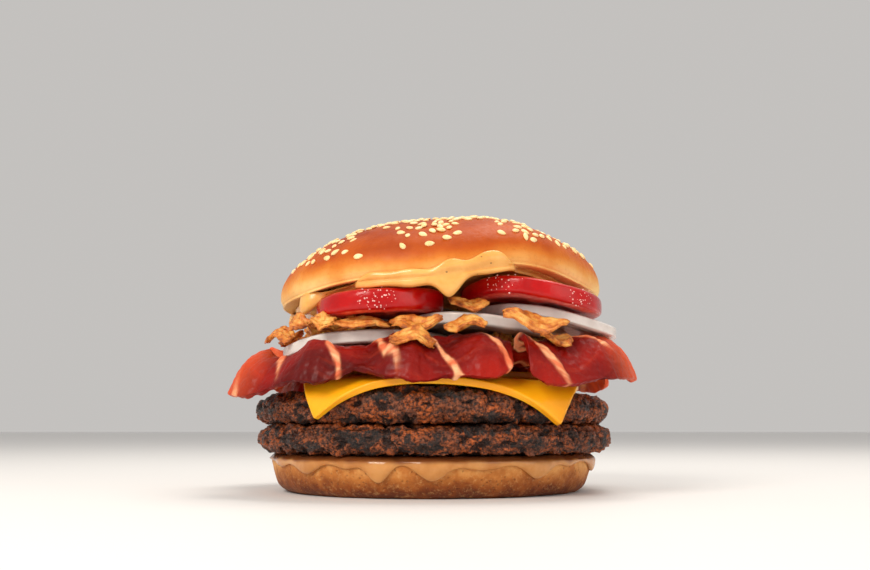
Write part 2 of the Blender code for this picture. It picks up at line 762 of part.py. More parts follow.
def crown():
    bun = crown_shape()
    mesh = sesame_seed()
    group = bpy.data.collections.new("seeds")
    bpy.context.scene.collection.children.link(group)
    for place, share, angle, spin in seed_places(SEED_COUNT):
        seed = bpy.data.objects.new("seed", mesh)
        seed.matrix_world = seed_matrix(place, share, angle, spin)
        group.objects.link(seed)
    join = bun.modifiers.new("join seeds", "BOOLEAN")
    join.operation = "UNION"
    join.operand_type = "COLLECTION"
    join.collection = group
    join.solver = "EXACT"
    graph = bpy.context.evaluated_depsgraph_get()
    joined = bpy.data.meshes.new_from_object(bun.evaluated_get(graph))
    bun.modifiers.clear()
    bun.data = joined
    for seed in list(group.objects):
        bpy.data.objects.remove(seed)
    bpy.data.collections.remove(group)


# Sauce under the top bun: where it is squeezed out, how wide, its share of the lip and how far it hangs
SQUEEZES = (
    (-142.0, 8.0, 0.40, 4.4),
    (-113.0, 8.0, 0.50, 1.4),
    (-99.0, 9.0, 0.55, 1.6),
    (-87.0, 5.5, 0.55, 5.6),
    (-74.0, 9.0, 0.85, 0.8),
    (20.0, 14.0, 0.60, 3.0),
    (74.0, 12.0, 0.55, 1.8),
    (112.0, 12.0, 0.60, 1.2),
    (165.0, 10.0, 0.45, 2.6),
)
SAUCE_CLEAR = GAP + 0.15
LIP_CLEAR = 1.35
SAUCE_FILM = 0.7
SAUCE_DEPTH = 3.4
SAUCE_POOL = 7.0
# The bun's lip from its underside up over the crust: how far out of the rim, how high, and the way it faces
LIP = (
    (-6.0, 0.0, 0.0, -1.0),
    (-3.2, 0.0, 0.2, -1.0),
    (-0.8, 0.9, 0.75, -0.65),
    (0.0, 2.6, 1.0, 0.0),
    (-0.6, 5.6, 1.0, 0.2),
)


def sauce_under(share, angle):
    """The sauce's underside: as deep as it can be over the slices under it."""
    place = crown_point(share, -SAUCE_CLEAR, angle)
    over = slices_over(place[:, 0], place[:, 1], [*ONIONS.values(), *TOMATOES.values()]) + GAP + 0.8
    lowest = place[:, 2] - SAUCE_DEPTH - SAUCE_POOL * (1.0 - smooth_step(0.62, 0.86, share))
    deepest = np.maximum(lowest, free_level(np.hypot(place[:, 0], place[:, 1])))
    place[:, 2] = np.minimum(np.maximum(deepest, over), place[:, 2] - SAUCE_FILM)
    return place


def round_lip(travel, away, angle):
    """A point away from the lip: travel is 0 under the bun, 2 at the turn of the lip and 4 on the crust."""
    knots = np.array(LIP)
    out, rise, out_facing, up_facing = (np.interp(travel, range(len(LIP)), column) for column in knots.T)
    place = crown_point(1.0, rise + up_facing * away, angle)
    return place + polar(1.0, angle, 0.0) * (out + out_facing * away)[:, None]


def hanging_edge(fall, out, angle):
    """The sauce's hanging edge: it falls past the rim, but not into the slices under it."""
    place = crown_point(1.0, -fall, angle) + polar(1.0, angle, 0.0) * out[:, None]
    over = slices_over(place[:, 0], place[:, 1], [*ONIONS.values(), *TOMATOES.values()], 2.0) + GAP + 0.3
    highest = crown_point(1.0, -SAUCE_CLEAR - 0.2, angle)[:, 2]
    place[:, 2] = np.minimum(np.maximum(place[:, 2], over), highest)
    return place


def bun_sauce():
    angle = angles(CROWN_STEPS)
    squeezed = 0 * angle
    fall = SAUCE_FILM + 0.8 + 0.3 * wobble(angle, 61)
    for middle, width, climb, depth in SQUEEZES:
        squeezed = squeezed + climb * bump(angle, middle, width)
        fall = fall + depth * bump(angle, middle, width * 0.8)
    squeezed = np.minimum(squeezed, 1.0)
    end = 0.9 + 2.9 * squeezed
    fat = 0.3 + 1.3 * smooth_step(0.1, 0.7, squeezed)
    front = -4.2 + 4.8 * smooth_step(0.05, 0.6, squeezed)
    rings = [
        crown_point(0.5, -SAUCE_CLEAR, angle),
        round_lip(0.3 * end, SAUCE_CLEAR, angle),
        round_lip(0.65 * end, LIP_CLEAR, angle),
        round_lip(end, LIP_CLEAR, angle),
        round_lip(end, LIP_CLEAR + 0.5 * fat, angle),
        round_lip(0.66 * end, LIP_CLEAR + fat, angle),
        hanging_edge(0.85 * fall, front + 0.7 * fat, angle),
        hanging_edge(fall, front - 0.3, angle),
        sauce_under(0.82, angle),
        sauce_under(0.7, angle),
        sauce_under(0.35, angle),
    ]
    x, y = CROWN_CENTRE
    bottom = sauce_under(0.0, np.zeros(1))[0]
    rings_solid("bun_sauce", rings, (x, y, CROWN_MIDDLE - SAUCE_CLEAR), bottom, "bun_sauce")


def main():
    clear_scene()
    heel()
    heel_sauce()
    patties()
    cheese_slice("cheese_front", -1, 1.5)
    cheese_slice("cheese_back", 1, -4.0)
    bacon()
    slices()
    beds()
    flakes()
    bun_sauce()
    crown()


main()
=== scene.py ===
"""The looks of a double cheeseburger with bacon, onion, crisp fried onion and tomato.

Slices, bacon and cheese are finer copies of the frame's own solids, with the relief of the real food
added. Both halves of the bun, the sauces, the patties, the flakes of crisp onion and the seeds are made
from the rules of their solids. Sizes are in millimetres and angles in degrees until a mesh is made.
"""

import math

import bmesh
import bpy
import numpy as np
from mathutils import Matrix, Vector, noise
from mathutils.bvhtree import BVHTree


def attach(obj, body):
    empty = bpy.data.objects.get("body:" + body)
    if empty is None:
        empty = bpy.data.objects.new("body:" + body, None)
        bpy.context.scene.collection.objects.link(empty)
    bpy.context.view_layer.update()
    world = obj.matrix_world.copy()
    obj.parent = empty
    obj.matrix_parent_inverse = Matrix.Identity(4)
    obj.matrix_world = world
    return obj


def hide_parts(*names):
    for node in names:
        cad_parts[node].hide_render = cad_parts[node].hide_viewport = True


MM = 0.001

# Patties
PATTY_RADIUS = 58.3
LOWER_PATTY = (12.9, 21.4)
UPPER_PATTY_BASE = 21.8
UPPER_PATTY_TOP = 33.0
CRAG = 1.1
# A patty's rounded edge: share of its radius, and share of its height
PATTY_EDGE = ((0.935, 0.0), (0.985, 0.22), (1.0, 0.5), (0.985, 0.78), (0.935, 1.0))

# Top bun
CROWN_RADIUS = 53.6
CROWN_CENTRE = (2.6, -0.5)
CROWN_RIM = 61.2
CROWN_MIDDLE = 68.7
CROWN_APEX = 88.5
CROWN_LIP = 2.6
SEED_SIZE = (3.3, 2.0, 1.1)
SOLID_SEEDS = 74
MORE_SEEDS = 430

# Sauce under the top bun: where it is squeezed out, how wide, its share of the lip and how far it hangs
SQUEEZES = (
    (-142.0, 8.0, 0.40, 4.4),
    (-113.0, 8.0, 0.50, 1.4),
    (-99.0, 9.0, 0.55, 1.6),
    (-87.0, 5.5, 0.55, 5.6),
    (-74.0, 9.0, 0.85, 0.8),
    (20.0, 14.0, 0.60, 3.0),
    (74.0, 12.0, 0.55, 1.8),
    (112.0, 12.0, 0.60, 1.2),
    (165.0, 10.0, 0.45, 2.6),
)
SAUCE_FILM = 0.7
# The bun's lip from its underside to the crust: how far out of the rim, how high, and the way it faces
LIP = (
    (-6.0, 0.0, 0.0, -1.0),
    (-3.2, 0.0, 0.2, -1.0),
    (-0.8, 0.9, 0.75, -0.65),
    (0.0, 2.6, 1.0, 0.0),
    (-0.6, 5.6, 1.0, 0.2),
)

# Bottom bun and the melted cheese sauce on it
GAP = 0.35
HEEL_RADIUS = 52.6
HEEL_TOP = 11.2
HEEL_FOOT = 0.93
HEEL_ROUND = 2.8
HEEL_EDGE = 0.9
SAUCE_THICK = 0.9
DRIP_THICK = 1.3
DRIPS = (
    (-152.0, 6.0, 2.6),
    (-135.0, 7.0, 4.2),
    (-118.0, 5.0, 2.6),
    (-107.0, 4.6, 6.4),
    (-90.0, 6.0, 5.6),
    (-73.0, 8.0, 2.6),
    (-53.0, 6.5, 5.4),
    (-38.0, 5.0, 2.2),
    (-14.0, 7.0, 4.0),
    (12.0, 6.0, 5.0),
    (38.0, 8.0, 3.0),
    (64.0, 6.0, 5.4),
    (92.0, 8.0, 3.6),
    (118.0, 6.0, 5.8),
    (143.0, 8.0, 3.0),
    (172.0, 6.0, 4.8),
)
DRIP_LEAST = 0.8

# Rashers seen from above: each route from end to end, and the turn that brings it to its side
LONG_ROUTE = ((-51.5, -15), (-44, -29.8), (-30.2, -40.2), (-10.5, -46), (6, -46.4), (22, -45))
SHORT_ROUTE = ((24.6, -44.6), (32.5, -41.8), (39.6, -36.4), (46, -26.8), (50, -12))
RASHERS = {
    "bacon_front_left": (LONG_ROUTE, 0.0),
    "bacon_front_right": (SHORT_ROUTE, 0.0),
    "bacon_back_right": (LONG_ROUTE, 180.0),
    "bacon_back_left": (SHORT_ROUTE, 180.0),
}

# Streaks of fat: how far apart along a rasher, and how far each slants for a millimetre across it
FAT_SPACING = 15.0
FAT_SLANT = 0.75

# Flakes of crisp onion: middle, length and width, how each is turned, tipped and rolled, and its curl
FLAKES = (
    ((-21.0, -47.0, 51.6), (16, 6), (4, 32, 0), 0.5),
    ((-4.5, -50.5, 51.4), (15, 7), (-6, 40, -6), 1.0),
    ((-5.4, -57.6, 46.4), (13, 6), (10, 44, 8), 0.9),
    ((10.0, -52.8, 50.9), (12, 6.5), (-8, 36, -6), 0.8),
    ((11.0, -46.8, 57.4), (11, 5.5), (6, 34, 0), 0.6),
    ((30.5, -51.2, 51.8), (20, 8.5), (12, 40, 8), 1.1),
    ((37.0, -47.5, 46.9), (11, 6), (30, 30, 6), 0.9),
    ((-47.4, -30.4, 49.0), (12, 6), (-44, 34, 0), 0.8),
    ((-32.3, -46.0, 52.2), (7.5, 5.5), (-24, 58, 0), 0.6),
    ((50.5, 16.0, 50.4), (15, 8), (88, 26, 0), 1.1),
    ((30.0, 42.0, 50.0), (16, 8), (140, 26, 0), 1.2),
    ((-27.0, 44.0, 50.6), (16, 8), (-146, 26, 0), 1.2),
    ((-49.5, 16.0, 50.4), (15, 8), (-92, 26, 0), 1.0),
    ((-40.2, -39.6, 52.6), (8.5, 5.5), (-36, 56, 0), 0.6),
)
FLAKE_THICK = 1.1
# How many small scraps of it lie round the bed and round the layer
BITS = (150, 30)

# Drops of juice for each tomato slice, where they gather at the front, and how far round each place
DROPS = 52
DROP_PLACES = ((-16.6, -52.7, 58.8), (21.5, -47.3, 64.5), (45.5, -44.5, 60.0))
DROP_REACH = 6.5

# Camera: low and level in front of the burger, looking a little up
CAMERA_BACK = 380.0
CAMERA_HEIGHT = 21.5
CAMERA_SIDE = 1.0
CAMERA_TILT = 7.1
LENS = 46.5

# Lamps: place, size, strength and tint of each, and the pale room round them
LAMPS = {
    "key": ((-420, -620, 520), 380, 5.4, (1.0, 0.94, 0.86)),
    "fill": ((620, -560, 260), 600, 1.7, (1.0, 0.95, 0.88)),
    "top": ((160, 160, 720), 420, 2.9, (1.0, 0.94, 0.86)),
}
LAMP_AIM = 45.0
ROOM_LIGHT = 0.55
ROOM_TINT = (1.0, 0.97, 0.94, 1.0)
FLOOR_SIDE = 3000.0
FLOOR_TONE = (0.8, 0.79, 0.78, 1.0)

# Finer copies: how far two triangles may lean apart and be skewed to be joined, and how sharp an edge stays
JOIN_LEAN = math.radians(50)
JOIN_SKEW = math.radians(60)
KEPT_EDGE = 0.75

# How strongly a surface mirrors, unless its look says more, and the values that noise seldom passes
SHINE = 0.28
NOISE_ENDS = (0.3, 0.7)
FULL_TURN = 6.28


# Shape helpers


def smooth_step(low, high, value):
    share = np.clip((np.asarray(value, float) - low) / (high - low), 0.0, 1.0)
    return share * share * (3.0 - 2.0 * share)


def bump_round(angle, middle, width):
    """A smooth hump of height 1 about an angle, in degrees, round the circle."""
    away = (np.asarray(angle) - middle + 180.0) % 360.0 - 180.0
    return np.exp(-((away / width) ** 2))


def wobble(angle, seed, waves=(2, 3, 5, 7)):
    """A smooth uneven value round the circle, about -1 to 1."""
    draw = np.random.default_rng(seed)
    turn = np.radians(angle)
    total = 0.0
    for wave in waves:
        total = total + np.sin(wave * turn + draw.uniform(0, 2 * math.pi)) / math.sqrt(wave)
    return total / sum(1 / math.sqrt(wave) for wave in waves)


def seed_shift(seed):
    return Vector((seed * 17.3, seed * 9.1, seed * 5.7))


def rough(points, size, seed):
    """Smooth noise, about -1 to 1, with lumps of a size, at each point."""
    shift = seed_shift(seed)
    return np.array([noise.noise(Vector(point) / size + shift) for point in points])


def crumbs(points, size, seed):
    """0 in the cracks between crumbs of a size and about 1 in the middle of each."""
    shift = seed_shift(seed)
    found = np.empty(len(points))
    for i, point in enumerate(points):
        near = noise.voronoi(Vector(point) / size + shift)[0]
        found[i] = near[1] - near[0]
    return 1.0 - np.exp(-4.0 * found)


def angles(steps):
    return np.arange(steps) * 360.0 / steps


def move_to(place):
    """A move to a place in millimetres."""
    return Matrix.Translation(Vector(np.asarray(place) * MM))


def stand_on(normal):
    """A turn that brings the upward way onto a surface's normal."""
    return Vector(normal).to_track_quat("Z", "Y").to_matrix().to_4x4()


def spin_about(way, turn):
    return Matrix.Rotation(turn, 4, way)


def polar(radius, angle, height):
    turn = np.radians(angle)
    height = np.broadcast_to(height, np.shape(turn))
    return np.stack([radius * np.cos(turn), radius * np.sin(turn), height], axis=-1)


def spline(knots, steps):
    """Points on a smooth curve through the knots, evenly spread by knot."""
    knots = np.asarray(knots, float)
    padded = np.vstack([2 * knots[0] - knots[1], knots, 2 * knots[-1] - knots[-2]])
    where = np.linspace(0, len(knots) - 1, steps)
    cell = np.minimum(where.astype(int), len(knots) - 2)
    t = (where - cell)[:, None]
    a, b, c, d = (padded[cell + k] for k in range(4))
    cubic = -a + 3 * b - 3 * c + d
    square = 2 * a - 5 * b + 4 * c - d
    return 0.5 * (2 * b + (c - a) * t + square * t**2 + cubic * t**3)


# Mesh helpers


def mesh_from(name, points, faces):
    """A mesh from points in millimetres, its faces turned to point out."""
    mesh = bpy.data.meshes.new(name)
    mesh.from_pydata((np.asarray(points) * MM).tolist(), [], faces)
    shape = bmesh.new()
    shape.from_mesh(mesh)
    bmesh.ops.recalc_face_normals(shape, faces=shape.faces)
    shape.to_mesh(mesh)
    shape.free()
    return mesh


def points_of(mesh):
    flat = np.empty(len(mesh.vertices) * 3, np.float32)
    mesh.vertices.foreach_get("co", flat)
    return flat.reshape(-1, 3).astype(float) / MM


def set_points(mesh, points):
    mesh.vertices.foreach_set("co", (points * MM).astype(np.float32).ravel())
    mesh.update()


def normals_of(mesh):
    flat = np.empty(len(mesh.vertices) * 3, np.float32)
    mesh.vertex_normals.foreach_get("vector", flat)
    return flat.reshape(-1, 3).astype(float)


def raise_skin(mesh, height):
    """Moves each point of the mesh out along its normal."""
    set_points(mesh, points_of(mesh) + normals_of(mesh) * np.asarray(height)[:, None])


def ring_mesh(name, rings, start, end):
    """A closed mesh through rings of points, with a middle point at both ends."""
    count = len(rings[0])
    points = np.concatenate([[start], *rings, [end]])
    last = len(points) - 1
    faces = []
    for i in range(count):
        j = (i + 1) % count
        faces.append((0, 1 + j, 1 + i))
        for k in range(len(rings) - 1):
            low, high = 1 + k * count, 1 + (k + 1) * count
            faces.append((low + i, low + j, high + j, high + i))
        low = 1 + (len(rings) - 1) * count
        faces.append((low + i, low + j, last))
    return mesh_from(name, points, faces)


def sheet_mesh(name, middle, thick):
    """A closed mesh of a given thickness about a grid of points."""
    along = np.gradient(middle, axis=0)
    across = np.gradient(middle, axis=1)
    normal = np.cross(along, across)
    normal /= np.linalg.norm(normal, axis=2, keepdims=True)
    offset = normal * (np.asarray(thick) / 2)[..., None]
    rows, columns = middle.shape[:2]
    points = np.concatenate([(middle + offset).reshape(-1, 3), (middle - offset).reshape(-1, 3)])
    below = rows * columns
    faces = []
    for i in range(rows - 1):
        for j in range(columns - 1):
            a = i * columns + j
            faces.append((a, a + columns, a + columns + 1, a + 1))
            faces.append((a + below, a + 1 + below, a + columns + 1 + below, a + columns + below))
    rim = list(range(columns))
    rim += [i * columns + columns - 1 for i in range(1, rows)]
    rim += [(rows - 1) * columns + j for j in range(columns - 2, -1, -1)]
    rim += [i * columns for i in range(rows - 2, 0, -1)]
    for a, b in zip(rim, rim[1:] + rim[:1]):
        faces.append((a, b, b + below, a + below))
    return mesh_from(name, points, faces)


def finer_rings(rings, steps):
    """More rings on a smooth curve through the given ones."""
    rings = np.asarray(rings)
    return spline(rings.reshape(len(rings), -1), steps).reshape(steps, *rings.shape[1:])


def joined(name, meshes):
    """One mesh from several."""
    shape = bmesh.new()
    for mesh in meshes:
        shape.from_mesh(mesh)
    made = bpy.data.meshes.new(name)
    shape.to_mesh(made)
    shape.free()
    return made


def new_object(name, data):
    """An object in the scene that holds a mesh, a lamp or a camera."""
    obj = bpy.data.objects.new(name, data)
    bpy.context.scene.collection.objects.link(obj)
    return obj


def fine_copy(node, levels, sharp=None, pull=0.7):
    """A finer smooth mesh of a node, pulled near its own points. Edges over sharp degrees stay."""
    shape = bmesh.new()
    shape.from_mesh(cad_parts[node].data)
    bmesh.ops.remove_doubles(shape, verts=shape.verts, dist=1e-6)
    bmesh.ops.join_triangles(
        shape,
        faces=shape.faces,
        angle_face_threshold=JOIN_LEAN,
        angle_shape_threshold=JOIN_SKEW,
    )
    if sharp is not None:
        crease = shape.edges.layers.float.new("crease_edge")
        for edge in shape.edges:
            if edge.is_manifold and edge.calc_face_angle() > math.radians(sharp):
                edge[crease] = KEPT_EDGE
    mesh = bpy.data.meshes.new(node + "_fine")
    shape.to_mesh(mesh)
    shape.free()
    obj = new_object(node + "_fine", mesh)
    finer = obj.modifiers.new("finer", "SUBSURF")
    finer.levels = finer.render_levels = levels
    aim = points_of(mesh)
    graph = bpy.context.evaluated_depsgraph_get()
    reached = points_of(obj.evaluated_get(graph).data)[: len(aim)]
    set_points(mesh, aim + pull * (aim - reached))
    graph = bpy.context.evaluated_depsgraph_get()
    made = bpy.data.meshes.new_from_object(obj.evaluated_get(graph))
    bpy.data.objects.remove(obj)
    return made


def show(name, mesh, look, nodes=(), values=None):
    """Puts a mesh into the scene as a piece: its material and the nodes that it stands for."""
    mesh.shade_smooth()
    for key, value in (values or {}).items():
        layer = mesh.attributes.new(key, "FLOAT", "POINT")
        layer.data.foreach_set("value", np.asarray(value, np.float32))
    mesh.materials.clear()
    mesh.materials.append(look)
    obj = new_object(name, mesh)
    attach(obj, "root")
    for node in nodes:
        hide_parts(node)
    return obj


# Material helpers


def linear_light(share):
    return share / 12.92 if share <= 0.04045 else ((share + 0.055) / 1.055) ** 2.4


def colour(red, green, blue):
    """A colour as the eye names it, 0 to 255, as linear light."""
    return tuple(linear_light(value / 255) for value in (red, green, blue))


def plug(tree, socket, value):
    """Links a socket or sets its value. A colour of three numbers is as the eye names it."""
    if isinstance(value, bpy.types.NodeSocket):
        tree.links.new(value, socket)
    elif isinstance(value, tuple) and len(value) == 3 and socket.type == "RGBA":
        socket.default_value = (*colour(*value), 1.0)
    else:
        socket.default_value = value


def add(tree, kind, inputs=None, **settings):
    """One node, with its settings, and a value or a link for each input by name or number."""
    made = tree.nodes.new("ShaderNode" + kind)
    for key, value in settings.items():
        setattr(made, key, value)
    for key, value in (inputs or {}).items():
        plug(tree, made.inputs[key], value)
    return made


def value_of(tree, name):
    return add(tree, "Attribute", attribute_name=name).outputs["Fac"]


def own_place(tree):
    return add(tree, "TexCoord").outputs["Object"]


def grain(tree, size, detail=4.0, roughness=0.6, stretch=(1.0, 1.0, 1.0), place=None):
    """Noise from 0 to 1 with grains of a size in millimetres."""
    if place is None:
        place = own_place(tree)
    scaled = add(tree, "Mapping", {"Vector": place, "Scale": stretch}).outputs[0]
    inputs = {"Vector": scaled, "Scale": 1.0 / (size * MM), "Detail": detail, "Roughness": roughness}
    return add(tree, "TexNoise", inputs).outputs[0]


def spots(tree, size, reach):
    """1 in small round spots about a size in millimetres apart, 0 between them."""
    inputs = {"Vector": own_place(tree), "Scale": 1.0 / (size * MM)}
    cells = add(tree, "TexVoronoi", inputs)
    return span(tree, cells.outputs["Distance"], reach, reach * 0.4)


def span(tree, value, low, high, to_low=0.0, to_high=1.0):
    """A value mapped smoothly from one range to another."""
    inputs = {"Value": value, "From Min": low, "From Max": high, "To Min": to_low, "To Max": to_high}
    return add(tree, "MapRange", inputs, interpolation_type="SMOOTHSTEP").outputs[0]


def patches(tree, size, detail=4.0, low=0.0, high=1.0, roughness=0.6):
    """Smooth patches of a size in millimetres, from a low to a high value."""
    return span(tree, grain(tree, size, detail, roughness), *NOISE_ENDS, low, high)


def maths(tree, operation, a, b):
    return add(tree, "Math", {0: a, 1: b}, operation=operation).outputs[0]


def mix(tree, factor, a, b):
    made = add(tree, "Mix", data_type="RGBA")
    plug(tree, made.inputs[0], factor)
    plug(tree, made.inputs[6], a)
    plug(tree, made.inputs[7], b)
    return made.outputs[2]


def stain(tree, tone, cover, strength, over):
    """A tone with another colour over it where the cover is 1, as strongly as strength says."""
    return mix(tree, maths(tree, "MULTIPLY", cover, strength), tone, over)


def ramp(tree, factor, *stops):
    """Colours at places from 0 to 1, blended between."""
    made = add(tree, "ValToRGB", {"Fac": factor})
    band = made.color_ramp
    while len(band.elements) < len(stops):
        band.elements.new(0.5)
    for element, (place, *tone) in zip(band.elements, stops):
        element.position = place
        element.color = (*colour(*tone), 1.0)
    return made.outputs[0]


def relief(tree, height, depth, under=None):
    """Fine relief of a depth in millimetres, on top of another relief."""
    inputs = {"Height": height, "Distance": depth * MM, "Strength": 1.0}
    made = add(tree, "Bump", inputs)
    if under is not None:
        plug(tree, made.inputs["Normal"], under)
    return made.outputs[0]


def new_material(name):
    made = bpy.data.materials.new(name)
    made.use_nodes = True
    return made, made.node_tree


def finish_look(made, inputs, inside=None):
    """Sets a look's values. inside: how much light soaks in, how far, and how far each colour."""
    if inside is not None:
        weight, reach, radius = inside
        inputs |= {"Subsurface Weight": weight, "Subsurface Scale": reach * MM, "Subsurface Radius": radius}
    shader = made.node_tree.nodes["Principled BSDF"]
    for key, value in {"Specular IOR Level": SHINE, **inputs}.items():
        plug(made.node_tree, shader.inputs[key], value)
    return made


# Materials


def crust_look():
    made, tree = new_material("crust")
    uneven = patches(tree, 15.0, 3.0, -0.11, 0.11, 0.5)
    # The bake value is browning darker on the shoulders and paler at the lip, and also a painted sheen
    # paler round the top
    tone = ramp(
        tree,
        maths(tree, "ADD", value_of(tree, "bake_and_sheen"), uneven),
        (0.0, 244, 200, 128),
        (0.25, 228, 156, 76),
        (0.48, 210, 118, 36),
        (0.72, 186, 82, 12),
        (1.0, 150, 52, 5),
    )
    freckles = span(tree, grain(tree, 1.1, 5.0, 0.7), 0.5, 0.75)
    tone = stain(tree, tone, freckles, 0.2, (142, 56, 18))
    fine = relief(tree, grain(tree, 0.7, 5.0, 0.6), 0.08)
    skin = relief(tree, grain(tree, 3.4, 3.0, 0.5), 0.3, fine)
    inputs = {"Base Color": tone, "Normal": skin, "Coat Weight": 0.04, "Coat Roughness": 0.34}
    inputs |= {"Roughness": patches(tree, 2.2, 4.0, 0.44, 0.58), "Specular IOR Level": 0.18}
    return finish_look(made, inputs, (0.05, 1.2, (1.0, 0.6, 0.25)))


def seed_look():
    made, tree = new_material("sesame_seed")
    uneven = span(tree, grain(tree, 1.6), 0.35, 0.7, -0.15, 0.15)
    tone = ramp(
        tree,
        maths(tree, "ADD", value_of(tree, "toast_and_shade"), uneven),
        (0.0, 252, 224, 172),
        (0.5, 244, 200, 132),
        (1.0, 206, 128, 60),
    )
    inputs = {"Base Color": tone, "Roughness": 0.38, "Normal": relief(tree, grain(tree, 0.5), 0.06)}
    return finish_look(made, inputs, (0.2, 0.8, (1.0, 0.6, 0.3)))


def heel_look():
    made, tree = new_material("heel_crust")
    height = add(tree, "SeparateXYZ", {0: own_place(tree)}).outputs["Z"]
    rise = span(tree, height, 0.0, HEEL_TOP * MM)
    tone = ramp(
        tree,
        maths(tree, "ADD", rise, patches(tree, 8.0, 4.0, -0.25, 0.25)),
        (0.0, 108, 48, 14),
        (0.3, 146, 76, 24),
        (0.7, 190, 116, 50),
        (1.0, 218, 154, 84),
    )
    flour = span(tree, grain(tree, 1.3, 6.0, 0.75), 0.5, 0.7)
    tone = stain(tree, tone, flour, 0.4, (228, 178, 112))
    pores = spots(tree, 1.5, 0.26)
    # Darker in the pores: painted shade in the small hollows
    tone = stain(tree, tone, pores, 0.3, (112, 54, 20))
    fine = relief(tree, grain(tree, 0.8, 6.0, 0.7), 0.22)
    skin = relief(tree, maths(tree, "SUBTRACT", 1.0, pores), 0.25, fine)
    inputs = {"Base Color": tone, "Roughness": 0.62, "Normal": skin}
    return finish_look(made, inputs, (0.1, 1.5, (1.0, 0.5, 0.2)))


def sauce_look(name, pale, deep, speck):
    made, tree = new_material(name)
    tone = mix(tree, patches(tree, 7.0, 3.0), pale, deep)
    if speck is not None:
        tone = stain(tree, tone, spots(tree, 5.0, 0.09), 0.75, speck)
    # Darker brown where the juice value is high: meat juice and painted shade under the patty
    tone = stain(tree, tone, value_of(tree, "juice_and_shade"), 0.9, (104, 48, 22))
    inputs = {"Base Color": tone, "Roughness": 0.26, "Normal": relief(tree, grain(tree, 2.6, 2.0), 0.12)}
    inputs |= {"Coat Weight": 0.35, "Coat Roughness": 0.14}
    return finish_look(made, inputs, (0.25, 2.5, (1.0, 0.6, 0.25)))


def beef_look():
    made, tree = new_material("beef")
    fine = grain(tree, 0.9, 6.0, 0.75)
    patch = span(tree, grain(tree, 7.0, 4.0, 0.6), 0.36, 0.64)
    low = mix(tree, patch, (30, 13, 7), (54, 22, 9))
    high = mix(tree, patch, (124, 68, 42), (190, 92, 32))
    # Painted light and shade on the meat: dark in the cracks and pits, lit on the crumb tops
    lit = maths(tree, "ADD", span(tree, fine, 0.36, 0.66, 0.0, 0.8), value_of(tree, "crumb_light_and_shade"))
    meat = mix(tree, span(tree, lit, 0.7, 1.3), low, high)
    # Pale orange flecks on the grain tops: painted highlights
    meat = mix(tree, span(tree, fine, 0.58, 0.7, 0.0, 0.8), meat, (216, 140, 84))
    black = mix(tree, span(tree, fine, 0.46, 0.66), (16, 9, 7), (92, 54, 36))
    edge = maths(tree, "ADD", value_of(tree, "char"), patches(tree, 2.4, 4.0, -0.35, 0.35))
    tone = mix(tree, span(tree, edge, 0.5, 1.0), meat, black)
    skin = relief(tree, grain(tree, 1.3, 5.0, 0.7), 0.7, relief(tree, fine, 0.4))
    inputs = {"Base Color": tone, "Normal": skin, "Specular IOR Level": 0.45}
    inputs["Roughness"] = span(tree, grain(tree, 1.0), 0.35, 0.65, 0.16, 0.6)
    return finish_look(made, inputs)


def cheese_look():
    made, tree = new_material("cheese")
    tone = mix(tree, patches(tree, 16.0, 2.0), (252, 162, 8), (253, 178, 20))
    inputs = {"Base Color": tone, "Roughness": 0.34, "Normal": relief(tree, grain(tree, 3.0, 2.0), 0.08)}
    inputs |= {"Coat Weight": 0.15, "Coat Roughness": 0.25}
    return finish_look(made, inputs, (0.25, 3.0, (1.0, 0.55, 0.08)))


def bacon_look():
    made, tree = new_material("bacon")
    along = value_of(tree, "along")
    across = value_of(tree, "across")
    place = add(tree, "CombineXYZ", {"X": along, "Y": across}).outputs[0]
    wide = grain(tree, 11.0, 3.0, 0.5, (0.3, 1.0, 1.0), place)
    fibre = grain(tree, 2.2, 5.0, 0.6, (0.14, 1.0, 1.0), place)
    lean = ramp(
        tree,
        span(tree, wide, 0.28, 0.72),
        (0.0, 70, 3, 1),
        (0.45, 118, 9, 4),
        (1.0, 158, 22, 8),
    )
    # Lighter orange red towards the rashers' ends: painted light
    lean = stain(tree, lean, value_of(tree, "painted_end_light"), 0.75, (240, 98, 52))
    lean = mix(tree, span(tree, fibre, 0.5, 0.74, 0.0, 0.22), lean, (208, 66, 34))
    fat = mix(tree, span(tree, fibre, 0.35, 0.65), (252, 186, 136), (226, 112, 72))
    tone = mix(tree, value_of(tree, "fat"), lean, fat)
    skin = relief(tree, grain(tree, 1.2, 4.0), 0.16, relief(tree, fibre, 0.35))
    inputs = {"Base Color": tone, "Normal": skin, "Coat Weight": 0.06, "Coat Roughness": 0.2}
    inputs |= {"Roughness": patches(tree, 3.0, 4.0, 0.36, 0.56), "Specular IOR Level": 0.14}
    return finish_look(made, inputs, (0.03, 1.0, (1.0, 0.25, 0.12)))


def onion_look():
    made, tree = new_material("onion")
    tone = mix(tree, patches(tree, 10.0, 3.0), (228, 220, 214), (208, 198, 192))
    tone = stain(tree, tone, value_of(tree, "ring"), 0.5, (196, 190, 176))
    inputs = {"Base Color": tone, "Roughness": 0.24, "Normal": relief(tree, grain(tree, 2.0, 3.0), 0.1)}
    inputs |= {"Coat Weight": 0.3, "Coat Roughness": 0.1}
    return finish_look(made, inputs, (0.35, 3.0, (1.0, 0.9, 0.8)))


